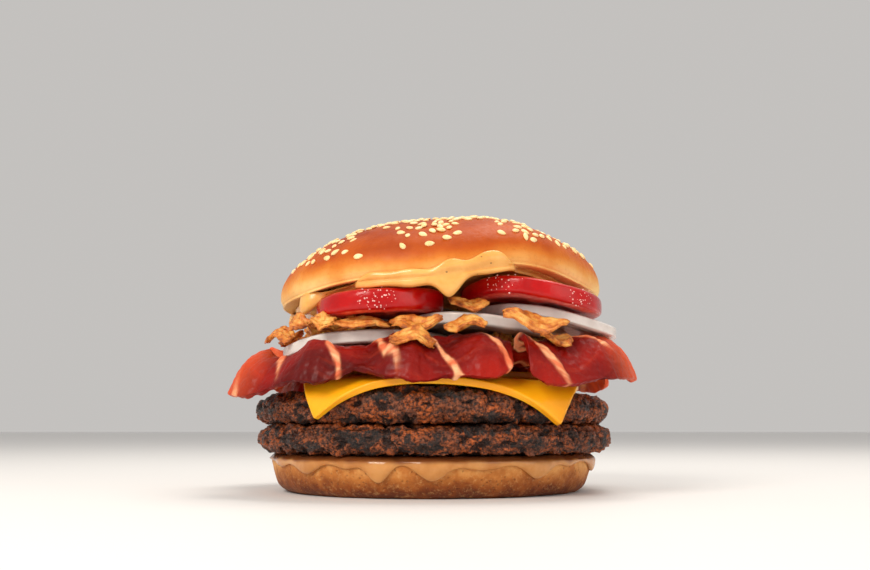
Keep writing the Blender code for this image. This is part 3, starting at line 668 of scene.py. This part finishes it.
def tomato_look():
    made, tree = new_material("tomato")
    flesh = value_of(tree, "flesh")
    skin_tone = mix(tree, patches(tree, 9.0, 3.0), (166, 2, 4), (190, 8, 8))
    pale_walls = span(tree, grain(tree, 2.2, 4.0), 0.4, 0.7)
    wall = mix(tree, pale_walls, (214, 44, 34), (236, 96, 70))
    tone = mix(tree, flesh, skin_tone, wall)
    tone = stain(tree, tone, value_of(tree, "pocket"), 0.7, (150, 22, 10))
    wet = relief(tree, grain(tree, 1.1, 3.0), 0.1, relief(tree, grain(tree, 4.5, 2.0), 0.3))
    inputs = {"Base Color": tone, "Normal": wet, "Coat Weight": 0.2, "Coat Roughness": 0.08}
    inputs["Roughness"] = span(tree, flesh, 0.0, 1.0, 0.24, 0.34)
    return finish_look(made, inputs, (0.08, 2.0, (1.0, 0.12, 0.06)))


def drop_glint_look():
    made, tree = new_material("juice_drop_glint")
    # Pale pinkish white: painted glints on the drops
    tone = mix(tree, grain(tree, 3.0), (255, 226, 220), (246, 160, 150))
    inputs = {"Base Color": tone, "Roughness": 0.08, "IOR": 1.34, "Transmission Weight": 0.12}
    return finish_look(made, inputs)


def crisp_look():
    made, tree = new_material("fried_onion")
    # The toast value is browning, and on the beds also painted shade in the cracks between lumps
    tone = ramp(
        tree,
        maths(tree, "ADD", value_of(tree, "toast_and_shade"), patches(tree, 2.6, 5.0, -0.3, 0.3)),
        (0.0, 244, 204, 120),
        (0.35, 230, 164, 78),
        (0.65, 208, 118, 44),
        (1.0, 120, 50, 16),
    )
    skin = relief(tree, grain(tree, 1.0, 5.0, 0.7), 0.3)
    inputs = {"Base Color": tone, "Normal": skin, "Coat Weight": 0.12, "Coat Roughness": 0.25}
    inputs["Roughness"] = patches(tree, 1.2, 4.0, 0.3, 0.5)
    return finish_look(made, inputs, (0.15, 1.2, (1.0, 0.5, 0.2)))


# Bottom bun and its sauce


def heel_radius(angle, height):
    """The bun is widest at its cut top and draws in to a smaller flat foot."""
    below = np.clip((HEEL_TOP - height) / HEEL_TOP, 0.0, 1.0)
    shape = 1.0 - (1.0 - HEEL_FOOT) * below**2
    low = np.clip(1.0 - np.asarray(height) / HEEL_ROUND, 0.0, 1.0)
    inset = HEEL_ROUND * (1.0 - np.sqrt(1.0 - low**2))
    return HEEL_RADIUS * shape * (1.0 + 0.012 * wobble(angle, 3)) - inset


def bottom_bun(steps=400):
    angle = angles(steps)
    foot = heel_radius(angle, 0.0)
    rings = [polar(foot * share, angle, 0.0) for share in np.linspace(0.1, 0.97, 12)]
    curve = HEEL_ROUND * np.linspace(0, 1, 12) ** 2
    side = np.linspace(HEEL_ROUND, HEEL_TOP - HEEL_EDGE, 20)[1:]
    rings += [polar(heel_radius(angle, height), angle, height) for height in (*curve, *side)]
    for turn in np.radians((25, 50, 75)):
        inset = HEEL_EDGE * (1 - math.cos(turn))
        drop = HEEL_EDGE * (1 - math.sin(turn))
        rings.append(polar(heel_radius(angle, HEEL_TOP) - inset, angle, HEEL_TOP - drop))
    mesh = ring_mesh("heel", rings, (0, 0, 0), (0, 0, HEEL_TOP))
    points = points_of(mesh)
    raise_skin(mesh, 0.3 * rough(points, 8.0, 1) + 0.1 * rough(points, 1.6, 2))
    flat = points_of(mesh)
    flat[:, 2] = np.clip(flat[:, 2], 0.0, HEEL_TOP)
    set_points(mesh, flat)
    show("heel_bun", mesh, heel_look(), ["bun_heel"])


def drip_fall(angle):
    """How far below the bun's top the sauce hangs at each angle."""
    fall = DRIP_LEAST + 0.4 * wobble(angle, 8)
    for middle, width, depth in DRIPS:
        fall = fall + (depth - DRIP_LEAST) * bump_round(angle, middle, width)
    return fall


def bottom_sauce(steps=480):
    angle = angles(steps)
    top = HEEL_TOP + GAP + SAUCE_THICK
    fall = drip_fall(angle)
    rim = heel_radius(angle, HEEL_TOP)
    fat = DRIP_THICK * (0.4 + 0.6 * smooth_step(DRIP_LEAST, 5.5, fall))
    tip = HEEL_TOP - fall
    half = HEEL_TOP - fall * 0.5
    rings = [
        polar(rim - 6.0, angle, top),
        polar(rim - 1.2, angle, top),
        polar(rim + GAP + fat * 0.8, angle, HEEL_TOP - 0.1),
        polar(heel_radius(angle, half) + GAP + fat * 1.1, angle, half),
        polar(heel_radius(angle, tip) + GAP + fat * 0.8, angle, tip + 0.1),
        polar(heel_radius(angle, tip) + 0.1, angle, tip),
        polar(heel_radius(angle, half) + 0.1, angle, half),
        polar(rim + 0.1, angle, HEEL_TOP),
        polar(rim - 1.4, angle, HEEL_TOP + GAP),
    ]
    mesh = ring_mesh("sauce", finer_rings(rings, 44), (0, 0, top), (0, 0, HEEL_TOP + GAP))
    raise_skin(mesh, 0.12 * rough(points_of(mesh), 4.0, 3))
    points = points_of(mesh)
    # Darker at the top, under the patty: meat juice and painted shade
    juice_and_shade = smooth_step(HEEL_TOP - 1.1, HEEL_TOP + 0.3, points[:, 2] + 0.9 * rough(points, 5.0, 4))
    look = sauce_look("cheese_sauce", (208, 146, 80), (188, 122, 58), None)
    show("melted_cheese", mesh, look, ["cheese_sauce"], {"juice_and_shade": juice_and_shade})


# Patties


def patty_radius(angle, seed):
    return PATTY_RADIUS * (1.0 + 0.014 * wobble(angle, seed, (2, 3, 4, 7, 11)))


def upper_patty_top(share, angle):
    """Height of the upper patty's top: lower at the two sides, and a little swollen at the front."""
    side = np.cos(np.radians(angle)) ** 2
    return UPPER_PATTY_TOP - share**2 * (1.2 + 1.4 * side - 1.2 * bump_round(angle, -106, 30))


def lower_patty_top(share, angle):
    """Flat, and inside its rim pressed up against the patty over it."""
    flat = np.full(np.shape(angle), LOWER_PATTY[1])
    return flat + (UPPER_PATTY_BASE - LOWER_PATTY[1]) * (1.0 - smooth_step(0.9, 0.97, share))


def patty(name, node, base, top, seed, shift, look, steps=760):
    angle = angles(steps)
    radius = patty_radius(angle, seed)
    inner = np.linspace(0.4, 0.92, 14)
    rings = [polar(radius * share, angle, base) for share in inner]
    for share, rise in spline(PATTY_EDGE, 38):
        rings.append(polar(radius * share, angle, base + (top(share, angle) - base) * rise))
    rings += [polar(radius * share, angle, top(share, angle)) for share in inner[::-1]]
    rings = [ring + np.array(shift) for ring in rings]
    x, y = shift[:2]
    mesh = ring_mesh(name, rings, (x, y, base), (x, y, float(top(0.0, np.zeros(1))[0])))
    points = points_of(mesh)
    outer = smooth_step(0.82, 0.93, np.hypot(points[:, 0] - x, points[:, 1]) / PATTY_RADIUS)
    bent = points + 0.9 * np.stack([rough(points, 2.0, seed + k) for k in (11, 12, 13)], axis=1)
    charred = rough(points * (1, 1, 1.6), 8.0, seed + 1) + 0.35 * rough(points, 3.0, seed + 2)
    char = smooth_step(0.0, 0.3, charred)
    big = crumbs(bent, 2.2, seed + 3)
    small = crumbs(bent, 1.0, seed + 4)
    loose = 1.0 - 0.4 * char
    height = CRAG * (0.9 * rough(points, 6.0, seed) + 0.5 * rough(points, 2.7, seed + 5))
    height += 0.7 * loose * (big - 0.75) + 0.5 * loose * (small - 0.7)
    pits = smooth_step(0.16, 0.4, rough(points * (1, 1, 1.3), 3.6, seed + 6))
    height -= 1.2 * pits * loose
    raise_skin(mesh, height * outer)
    # Painted light and shade: high on crumb tops, low in the cracks and pits
    crumb_light_and_shade = np.clip(0.45 * big * (0.5 + 0.5 * small) + 0.5 - 0.6 * pits, 0, 1)
    show(name, mesh, look, [node], {"crumb_light_and_shade": crumb_light_and_shade, "char": char})


def patties():
    look = beef_look()
    base = LOWER_PATTY[0]
    patty("lower_patty_crags", "patty_lower", base, lower_patty_top, 11, (0.8, 0, 0), look)
    patty("upper_patty_crags", "patty_upper", UPPER_PATTY_BASE, upper_patty_top, 12, (0, 0, 0), look)


# Cheese slices


def cheese():
    look = cheese_look()
    for name, node in (("front_cheese", "cheese_front"), ("back_cheese", "cheese_back")):
        mesh = fine_copy(node, 3, 50)
        raise_skin(mesh, 0.12 * rough(points_of(mesh), 9.0, 5))
        show(name, mesh, look, [node])


# Bacon


def strip_place(points, route, turn):
    """How far along a rasher's route each point is, and how far across it, in millimetres."""
    back = math.radians(-turn)
    x = points[:, 0] * math.cos(back) - points[:, 1] * math.sin(back)
    y = points[:, 0] * math.sin(back) + points[:, 1] * math.cos(back)
    line = spline(route, 160)
    length = np.concatenate([[0.0], np.cumsum(np.linalg.norm(np.diff(line, axis=0), axis=1))])
    ahead = np.gradient(line, axis=0)
    ahead /= np.linalg.norm(ahead, axis=1, keepdims=True)
    away = np.stack([x, y], axis=1)[:, None, :] - line[None, :, :]
    nearest = np.argmin((away**2).sum(axis=2), axis=1)
    side = away[np.arange(len(points)), nearest]
    forward = ahead[nearest]
    along = length[nearest] + (side * forward).sum(axis=1)
    return along, side[:, 0] * forward[:, 1] - side[:, 1] * forward[:, 0]


def fat_streaks(along, across, seed):
    """1 in the slanting streaks of fat of a rasher and 0 in the lean."""
    flat = np.stack([along, across / 2.0, np.full(len(along), 9.0 * seed)], axis=1)
    ragged = 1.3 * rough(flat, 4.0, 70 + seed) + 0.5 * rough(flat, 1.4, 74 + seed)
    slanted = along - FAT_SLANT * (across - 6.0) + ragged
    spacing = FAT_SPACING + 3.0 * (seed % 2)
    place = np.mod(slanted + 2.0 + 5.0 * seed, spacing) - spacing / 2
    width = 1.15 + 0.5 * rough(flat, 9.0, 60 + seed)
    streak = np.exp(-((place / width) ** 4)) * smooth_step(-3.0, 0.0, across)
    streak = streak * smooth_step(-0.35, 0.05, rough(flat, 8.0, 62 + seed))
    rind = np.exp(-((across - 2.0 - 1.2 * ragged) ** 4))
    rind = rind * smooth_step(0.0, 0.25, rough(flat, 11.0, 66 + seed))
    inner = np.exp(-(((across + 6.5 - ragged) / 1.6) ** 4))
    return np.maximum(np.maximum(streak, rind), inner)


def bacon():
    look = bacon_look()
    for seed, (node, (route, turn)) in enumerate(RASHERS.items()):
        mesh = fine_copy(node, 4, 60, 0.3)
        points = points_of(mesh)
        along, across = strip_place(points, route, turn)
        fat = fat_streaks(along, across, seed)
        flat = np.stack([along, across / 2.4, np.full(len(along), 5.0 * seed)], axis=1)
        ridges = np.sin(along * 1.15 + 2.4 * rough(flat, 7.0, 80 + seed) + 0.12 * across)
        crinkle = 0.2 * ridges + 0.55 * rough(flat, 3.4, 82 + seed)
        raise_skin(mesh, crinkle + 0.25 * rough(points, 1.5, 84 + seed) + 0.3 * fat)
        # Painted light: each rasher lighter towards one end
        painted_end_light = smooth_step(18.0, 34.0, along)
        if route is LONG_ROUTE:
            painted_end_light = 1.0 - smooth_step(6.0, 22.0, along)
        values = {"along": along * MM, "across": across * MM, "fat": fat, "painted_end_light": painted_end_light}
        show(node.replace("bacon", "rasher"), mesh, look, [node], values)


# Onion and tomato slices


def slice_places(mesh):
    """The points of a slice, and for each its share of the radius, its angle and its flatness."""
    points = points_of(mesh)
    low, high = points.min(axis=0), points.max(axis=0)
    middle = (low + high) / 2
    away = points[:, :2] - middle[:2]
    share = np.hypot(away[:, 0], away[:, 1]) / ((high - low)[:2].mean() / 2)
    flat = np.abs(normals_of(mesh)[:, 2])
    return points, share, np.degrees(np.arctan2(away[:, 1], away[:, 0])), flat


def onions():
    look = onion_look()
    for seed, node in enumerate(("onion_left", "onion_middle", "onion_right", "onion_back")):
        mesh = fine_copy(node, 3)
        points, share, angle, flat = slice_places(mesh)
        layers = (share + 0.012 * wobble(angle, 90 + seed)) * 6.5
        groove = np.exp(-(((layers % 1.0) - 0.5) / 0.09) ** 2) * smooth_step(0.75, 0.95, flat)
        raise_skin(mesh, 0.12 * rough(points, 6.0, 90 + seed) - 0.35 * groove)
        show(node.replace("onion", "onion_slice"), mesh, look, [node], {"ring": groove})


def tomatoes():
    look = tomato_look()
    made = []
    for seed, node in enumerate(("tomato_left", "tomato_right", "tomato_back")):
        mesh = fine_copy(node, 3)
        points, share, angle, flat = slice_places(mesh)
        flesh = smooth_step(0.75, 0.92, flat) * (1.0 - smooth_step(0.93, 0.98, share))
        chambers = np.abs(np.sin(np.radians(angle * 2.5 + 40.0 * seed))) ** 0.6
        pocket = flesh * smooth_step(0.25, 0.4, share) * (1.0 - smooth_step(0.68, 0.8, share))
        pocket = pocket * smooth_step(0.45, 0.75, chambers)
        raise_skin(mesh, 0.15 * rough(points, 6.0, 95 + seed) - 0.3 * pocket)
        values = {"flesh": flesh, "pocket": pocket}
        made.append(show(node.replace("tomato", "tomato_slice"), mesh, look, [node], values))
    return made


def bead(radius):
    """A low round drop."""
    shape = bmesh.new()
    bmesh.ops.create_icosphere(shape, subdivisions=2, radius=radius * MM)
    bmesh.ops.scale(shape, vec=(1.0, 1.0, 0.55), verts=shape.verts)
    mesh = bpy.data.meshes.new("drop")
    shape.to_mesh(mesh)
    shape.free()
    return mesh


def juice_drops(slices):
    """Small drops of juice in clusters on the tomatoes' skin."""
    draw = np.random.default_rng(33)
    made = []
    for obj in slices:
        points, normals = points_of(obj.data), normals_of(obj.data)
        near = [np.linalg.norm(points - np.array(place), axis=1) for place in DROP_PLACES]
        gathered = np.exp(-((np.min(near, axis=0) / DROP_REACH) ** 2)) + 0.2 * rough(points, 2.5, 44)
        wet = np.where(points[:, 1] > 0, rough(points, 7.0, 44) + 0.3, gathered)
        chosen = np.flatnonzero((np.abs(normals[:, 2]) < 0.75) & (wet > 0.45))
        for index in draw.choice(chosen, min(DROPS, len(chosen)), replace=False):
            mesh = bead(draw.uniform(0.1, 0.3))
            aside = draw.normal(0, 0.8, 3)
            aside -= normals[index] * aside.dot(normals[index])
            mesh.transform(move_to(points[index] + aside) @ stand_on(normals[index]))
            made.append(mesh)
    show("tomato_drops", joined("tomato_drops", made), drop_glint_look())


# Crisp fried onion


def flake_mesh(size, curl, seed, steps=(34, 14)):
    """A curled scrap of onion about the origin: a ragged leaf, rolled across and waved along it."""
    u = np.linspace(-1, 1, steps[0])[:, None]
    v = np.linspace(-1, 1, steps[1])[None, :]
    draw = np.random.default_rng(70 + seed)
    lean = draw.uniform(0, FULL_TURN, 4)
    half_width = size[1] / 2 * (1.0 - 0.62 * u**2 + 0.16 * np.sin(4.2 * u + lean[0]))
    ragged = 1.06 + 0.08 * np.sin(9.0 * u + lean[1]) * v + 0.06 * np.sin(17.0 * u + lean[2])
    x = size[0] / 2 * u + 0.5 * np.sin(3.0 * v + lean[1]) + 0.3 * np.sin(11.0 * v + lean[3]) * u**4
    y = half_width * ragged * v + 0.8 * np.sin(2.6 * u + lean[2])
    z = curl * (np.sin(3.4 * u + lean[3]) + 0.9 * v**2 * np.cos(2.2 * u))
    z = z + 0.3 * np.sin(9.0 * v + 2.0 * u + lean[0])
    middle = np.stack([x, y, z], axis=-1)
    thick = FLAKE_THICK * (1.15 - 0.5 * np.abs(v) ** 3) * (1.0 - 0.4 * np.abs(u) ** 4)
    mesh = sheet_mesh("flake", middle, thick)
    points = points_of(mesh)
    raise_skin(mesh, 0.22 * rough(points, 1.7, 100 + seed))
    toast_and_shade = 0.38 + 0.3 * np.tile((np.maximum(np.abs(u), np.abs(v)) ** 3).ravel(), 2)
    toast_and_shade = toast_and_shade + 0.3 * rough(points, 4.0, 130 + seed)
    return mesh, toast_and_shade


def crisp_flakes():
    look = crisp_look()
    for seed, (middle, size, turned, curl) in enumerate(FLAKES):
        mesh, toast_and_shade = flake_mesh(size, curl, seed)
        yaw, pitch, roll = (math.radians(turn) for turn in turned)
        spin = spin_about("Z", yaw) @ spin_about("X", pitch) @ spin_about("Y", roll)
        mesh.transform(move_to(middle) @ spin)
        number = f"{seed + 1:02d}"
        nodes = ["fried_onion_" + number]
        show("crisp_flake_" + number, mesh, look, nodes, {"toast_and_shade": toast_and_shade})
    return look


def crisp_beds(look):
    made = []
    for name, node in (("crisp_bed", "fried_onion_bed"), ("crisp_layer", "fried_onion_layer")):
        mesh = fine_copy(node, 3)
        points = points_of(mesh)
        lumps = crumbs(points, 4.0, 7)
        raise_skin(mesh, 0.9 * (lumps - 0.8) + 0.3 * rough(points, 1.8, 8))
        # Darker in the cracks between lumps: painted shade
        made.append(show(name, mesh, look, [node], {"toast_and_shade": 1.05 - 0.6 * lumps}))
    return made


def crisp_bits(look, beds):
    """Small scraps of crisp onion that lie against the sides of the beds."""
    draw = np.random.default_rng(5)
    bits, toasts = [], []
    for bed, count in zip(beds, BITS):
        points, normals = points_of(bed.data), normals_of(bed.data)
        middle = (points.min(axis=0) + points.max(axis=0)) / 2
        away = np.hypot(*(points - middle)[:, :2].T)
        chosen = np.flatnonzero(away > away.max() * 0.72)
        for index in draw.choice(chosen, count, replace=False):
            size = (draw.uniform(6.0, 11.0), draw.uniform(3.0, 5.0))
            mesh, toast_and_shade = flake_mesh(size, draw.uniform(0.3, 0.9), 200 + len(bits), (16, 8))
            spin = spin_about("Z", draw.uniform(0, FULL_TURN)) @ spin_about("X", draw.uniform(-0.6, 0.6))
            mesh.transform(move_to(points[index]) @ stand_on(normals[index]) @ spin)
            bits.append(mesh)
            toasts.append(toast_and_shade + draw.uniform(-0.15, 0.25))
    values = {"toast_and_shade": np.concatenate(toasts)}
    show("crisp_bits", joined("crisp_bits", bits), look, (), values)


# Top bun


def crown_rim(angle):
    """Height of the top bun's rim: it leans down to the left, and the front tomato slices push it up."""
    turn = np.radians(angle)
    lean = 2.0 * np.cos(turn) - 0.9 * np.sin(turn)
    return CROWN_RIM + lean + 6.0 * bump_round(angle, -64, 27) + 2.8 * bump_round(angle, -116, 26)


def crown_point(share, rise, angle):
    """share is the part of the radius, and rise the height over the bun's own base."""
    radius = CROWN_RADIUS * (1.0 + 0.010 * wobble(angle, 51, (2, 3, 5))) * share
    place = polar(radius, angle, 0.0) + np.array((*CROWN_CENTRE, 0.0))
    place[..., 2] = CROWN_MIDDLE + (crown_rim(angle) - CROWN_MIDDLE) * share**2 + rise
    return place


def dome(share):
    """Rise of the crust from the lip up: fuller at the shoulders and flatter on top than a ball."""
    return CROWN_LIP + (CROWN_APEX - CROWN_MIDDLE - CROWN_LIP) * np.maximum(1.0 - share**2.5, 0.0) ** 0.4


# Sauce under the top bun


def round_lip(travel, away, angle):
    """A point away from the lip: travel is 0 under the bun, 2 at the lip's turn and 4 on the crust."""
    knots = np.array(LIP)
    out, rise, out_facing, up_facing = (np.interp(travel, range(len(LIP)), column) for column in knots.T)
    place = crown_point(1.0, rise + up_facing * away, angle)
    return place + polar(1.0, angle, 0.0) * (out + out_facing * away)[:, None]


def solids_of(nodes):
    """One search tree over the solids of some nodes."""
    shape = bmesh.new()
    for node in nodes:
        shape.from_mesh(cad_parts[node].data)
    tree = BVHTree.FromBMesh(shape)
    shape.free()
    return tree


def found_height(tree, place, start, way):
    """Height in millimetres at which a line up or down through a point meets the solids, or none."""
    hit = tree.ray_cast(Vector((place[0], place[1], start)) * MM, Vector((0, 0, way)))[0]
    return None if hit is None else hit.z / MM


def hanging_edge(fall, out, angle, slices):
    """The sauce's hanging edge: it falls past the rim, but not into the slices under it."""
    ring = crown_point(1.0, -fall, angle) + polar(1.0, angle, 0.0) * out[:, None]
    for place, top in zip(ring, crown_point(1.0, -0.2, angle)[:, 2]):
        over = found_height(slices, place, CROWN_APEX, -1)
        if over is not None:
            place[2] = min(max(place[2], over + 0.1), top)
    return ring


def top_sauce(steps=480):
    angle = angles(steps)
    squeezed = 0 * angle
    fall = SAUCE_FILM + 0.8 + 0.3 * wobble(angle, 61)
    for middle, width, climb, depth in SQUEEZES:
        squeezed = squeezed + climb * bump_round(angle, middle, width)
        fall = fall + depth * bump_round(angle, middle, width * 0.8)
    squeezed = np.minimum(squeezed, 1.0)
    end = 0.35 + 3.45 * smooth_step(0.0, 1.0, squeezed) ** 0.7
    turn = np.minimum(end, 1.9)
    fat = 0.2 + 1.6 * smooth_step(0.1, 0.6, squeezed)
    front = -6.5 + 5.6 * smooth_step(0.02, 0.4, squeezed)
    sides = ("left", "right", "back")
    slices = solids_of([f"{kind}_{side}" for kind in ("tomato", "onion") for side in sides])
    rings = [
        crown_point(0.86, -0.2, angle),
        round_lip(0.3 * end, -0.1, angle),
        round_lip(0.65 * end, -0.1, angle),
        round_lip(0.9 * end, -0.1, angle),
        round_lip(end, 0.15 * fat, angle),
        round_lip(0.92 * end + 0.08 * turn, 0.7 * fat, angle),
        round_lip(0.5 * end + 0.5 * turn, 1.1 * fat, angle),
        round_lip(turn, 1.1 * fat, angle),
        hanging_edge(0.45 * fall, front + 0.9 * fat, angle, slices),
        hanging_edge(0.85 * fall, front + 0.7 * fat, angle, slices),
        hanging_edge(fall, front - 0.3, angle, slices),
        hanging_edge(0.8 * fall, front - 1.8, angle, slices),
    ]
    rings = list(finer_rings(rings, 56))
    solid = solids_of(["bun_sauce"])
    for share in (0.82, 0.7, 0.5, 0.3, 0.12):
        ring = crown_point(share, -2.0, angle)
        for place in ring:
            place[2] = found_height(solid, place, 0.0, 1)
        rings.append(ring)
    x, y = CROWN_CENTRE
    low = found_height(solid, CROWN_CENTRE, 0.0, 1)
    mesh = ring_mesh("sauce", rings, (x, y, CROWN_MIDDLE - 0.2), (x, y, low))
    raise_skin(mesh, 0.12 * rough(points_of(mesh), 5.0, 6))
    look = sauce_look("bun_sauce", (238, 180, 98), (226, 160, 78), (120, 84, 40))
    show("top_sauce", mesh, look, ["bun_sauce"])


def crown_crust(steps=360, rows=80):
    angle = angles(steps)
    under = spline(((0.5, 0.0), (0.94, 0.0), (0.985, CROWN_LIP * 0.35), (1.0, CROWN_LIP)), 16)[:-1]
    rings = [crown_point(share, rise, angle) for share, rise in under]
    shares = [math.sin(math.radians(90 * (1 - k / rows))) for k in range(rows)]
    rings += [crown_point(share, dome(share), angle) for share in shares]
    x, y = CROWN_CENTRE
    mesh = ring_mesh("crown", rings, (x, y, CROWN_MIDDLE), (x, y, CROWN_APEX))
    points = points_of(mesh)
    raise_skin(mesh, 0.4 * rough(points, 16.0, 21) + 0.12 * rough(points, 4.0, 22))
    share = np.hypot(points[:, 0] - x, points[:, 1] - y) / CROWN_RADIUS
    turn = np.degrees(np.arctan2(points[:, 1] - y, points[:, 0] - x))
    rise = (points[:, 2] - crown_rim(turn)) / (CROWN_APEX - crown_rim(turn))
    bake_and_sheen = 0.16 + 0.66 * smooth_step(0.02, 0.4, rise)
    bake_and_sheen -= 0.16 * bump_round(turn, -15, 40) * smooth_step(0.5, 0.9, share)
    bake_and_sheen -= 0.14 * bump_round(turn, -160, 30) * (1.0 - smooth_step(0.3, 0.6, rise))
    bake_and_sheen += 0.12 * bump_round(turn, -120, 30) * smooth_step(0.35, 0.7, rise)
    # Paler round the top: painted sheen
    bake_and_sheen -= 0.12 * (1.0 - smooth_step(0.15, 0.5, share))
    show("crown_crust", mesh, crust_look(), ["bun_crown"], {"bake_and_sheen": bake_and_sheen})


def even_chance(share, place):
    """How likely a seed of the solid stays: fewer stay low on the sides."""
    return 1.15 - 0.9 * float(smooth_step(0.72, 0.99, share))


def cluster_chance(share, place):
    """How likely one of the closer seeds stays: they lie in clusters, and few low on the sides."""
    cluster = rough([place], 13.0, 15)[0]
    return (0.5 + 2.2 * cluster) * (1.0 - 0.9 * float(smooth_step(0.86, 0.985, share)))


def scatter_seeds(found, count, draw, spread, reach, apart, chance):
    """Adds seeds at drawn places until there are enough, some way apart from each other."""
    while len(found) < count:
        share = draw.uniform(0, 1) ** spread * reach
        angle = draw.uniform(-180, 180)
        place = crown_point(share, dome(share), np.array([angle]))[0]
        keep = draw.uniform() < chance(share, place)
        if keep and all(np.linalg.norm(place - other[0]) > SEED_SIZE[0] * apart for other in found):
            found.append((place, share, angle, draw.uniform(0, 360)))


def seed_spots():
    """Where the sesame seeds lie: those of the solid first, then closer ones in clusters."""
    found = []
    scatter_seeds(found, SOLID_SEEDS, np.random.default_rng(7), 0.55, 0.97, 1.25, even_chance)
    total = SOLID_SEEDS + MORE_SEEDS
    scatter_seeds(found, total, np.random.default_rng(8), 0.45, 0.985, 0.72, cluster_chance)
    return found


def seed_matrix(place, share, angle, spin):
    """Stands a seed's flat side on the crust, turned by spin."""
    step = 0.01
    out = crown_point(share + step, dome(min(share + step, 1.0)), np.array([angle]))[0] - place
    round_it = crown_point(share, dome(share), np.array([angle + 1.0]))[0] - place
    if share < 0.02:
        out, round_it = np.array((1.0, 0, 0)), np.array((0, 1.0, 0))
    up = Vector(np.cross(out, round_it)).normalized()
    side = Vector(out).normalized()
    other = up.cross(side).normalized()
    turned = Matrix((side, other, up)).transposed().to_4x4()
    return move_to(place) @ turned @ spin_about("Z", math.radians(spin))


def seed_mesh():
    """One seed: a flattened drop, blunt at one end and pointed at the other."""
    length, width, thick = SEED_SIZE
    turn = np.radians(angles(10))
    rings = []
    for k in range(1, 8):
        share = k / 8
        fat = math.sin(math.pi * share**0.8) ** 0.75
        across = np.cos(turn) * width / 2 * fat
        upward = np.sin(turn) * thick / 2 * fat
        rings.append(np.stack([np.full(10, (share - 0.5) * length), across, upward], axis=-1))
    mesh = ring_mesh("seed", rings, (-length / 2, 0, 0), (length / 2, 0, 0))
    points = points_of(mesh)
    return mesh, 0.15 + 0.65 * smooth_step(0.15, 0.5, points[:, 0] / length) ** 2


def sesame_seeds():
    base, tips = seed_mesh()
    draw = np.random.default_rng(9)
    made, toasts = [], []
    for place, share, angle, spin in seed_spots():
        mesh = base.copy()
        size = draw.uniform(0.78, 1.04)
        tilt = spin_about("X", draw.normal(0, 0.12)) @ spin_about("Y", draw.normal(0, 0.1))
        lift = move_to((0, 0, draw.uniform(0.05, 0.35)))
        mesh.transform(seed_matrix(place, share, angle, spin) @ lift @ tilt @ Matrix.Scale(size, 4))
        made.append(mesh)
        toasts.append(tips + draw.uniform(-0.1, 0.35) ** 2 * 2)
    values = {"toast_and_shade": np.concatenate(toasts)}
    show("sesame_seeds", joined("sesame_seeds", made), seed_look(), (), values)


# Floor, light and camera


def floor():
    mesh = bpy.data.meshes.new("floor")
    side = FLOOR_SIDE * MM
    corners = [(-side, -side, 0), (side, -side, 0), (side, side, 0), (-side, side, 0)]
    mesh.from_pydata(corners, [], [(0, 1, 2, 3)])
    made = new_material("floor")[0]
    mesh.materials.append(finish_look(made, {"Base Color": FLOOR_TONE, "Roughness": 0.6}))
    new_object("floor", mesh)


def lamp(name, place, size, power, tint):
    """A square soft light that faces the middle of the burger."""
    light = bpy.data.lights.new(name, "AREA")
    light.size = size * MM
    light.energy = power
    light.color = tint
    obj = new_object(name, light)
    obj.location = Vector(place) * MM
    aim = Vector((0, 0, LAMP_AIM * MM)) - obj.location
    obj.rotation_euler = aim.to_track_quat("-Z", "Y").to_euler()


def light_the_scene():
    for name, (place, size, power, tint) in LAMPS.items():
        lamp(name, place, size, power, tint)
    world = bpy.data.worlds.new("studio")
    bpy.context.scene.world = world
    world.use_nodes = True
    background = world.node_tree.nodes["Background"]
    background.inputs["Color"].default_value = ROOM_TINT
    background.inputs["Strength"].default_value = ROOM_LIGHT
    bpy.context.scene.view_settings.view_transform = "Standard"


def camera():
    data = bpy.data.cameras.new("camera")
    data.lens = LENS
    data.sensor_width = 36.0
    obj = new_object("camera", data)
    obj.location = Vector((CAMERA_SIDE, -CAMERA_BACK, CAMERA_HEIGHT)) * MM
    obj.rotation_euler = (math.radians(90 + CAMERA_TILT), 0, 0)
    bpy.context.scene.camera = obj


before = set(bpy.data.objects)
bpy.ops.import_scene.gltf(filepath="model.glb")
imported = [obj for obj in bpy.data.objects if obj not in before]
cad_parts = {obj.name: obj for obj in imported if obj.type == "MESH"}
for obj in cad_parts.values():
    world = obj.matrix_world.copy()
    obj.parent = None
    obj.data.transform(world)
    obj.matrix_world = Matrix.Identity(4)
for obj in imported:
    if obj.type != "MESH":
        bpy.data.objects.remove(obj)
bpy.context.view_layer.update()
camera()
floor()
light_the_scene()
bottom_bun()
bottom_sauce()
patties()
cheese()
bacon()
onions()
juice_drops(tomatoes())
crisp = crisp_flakes()
crisp_bits(crisp, crisp_beds(crisp))
top_sauce()
crown_crust()
sesame_seeds()
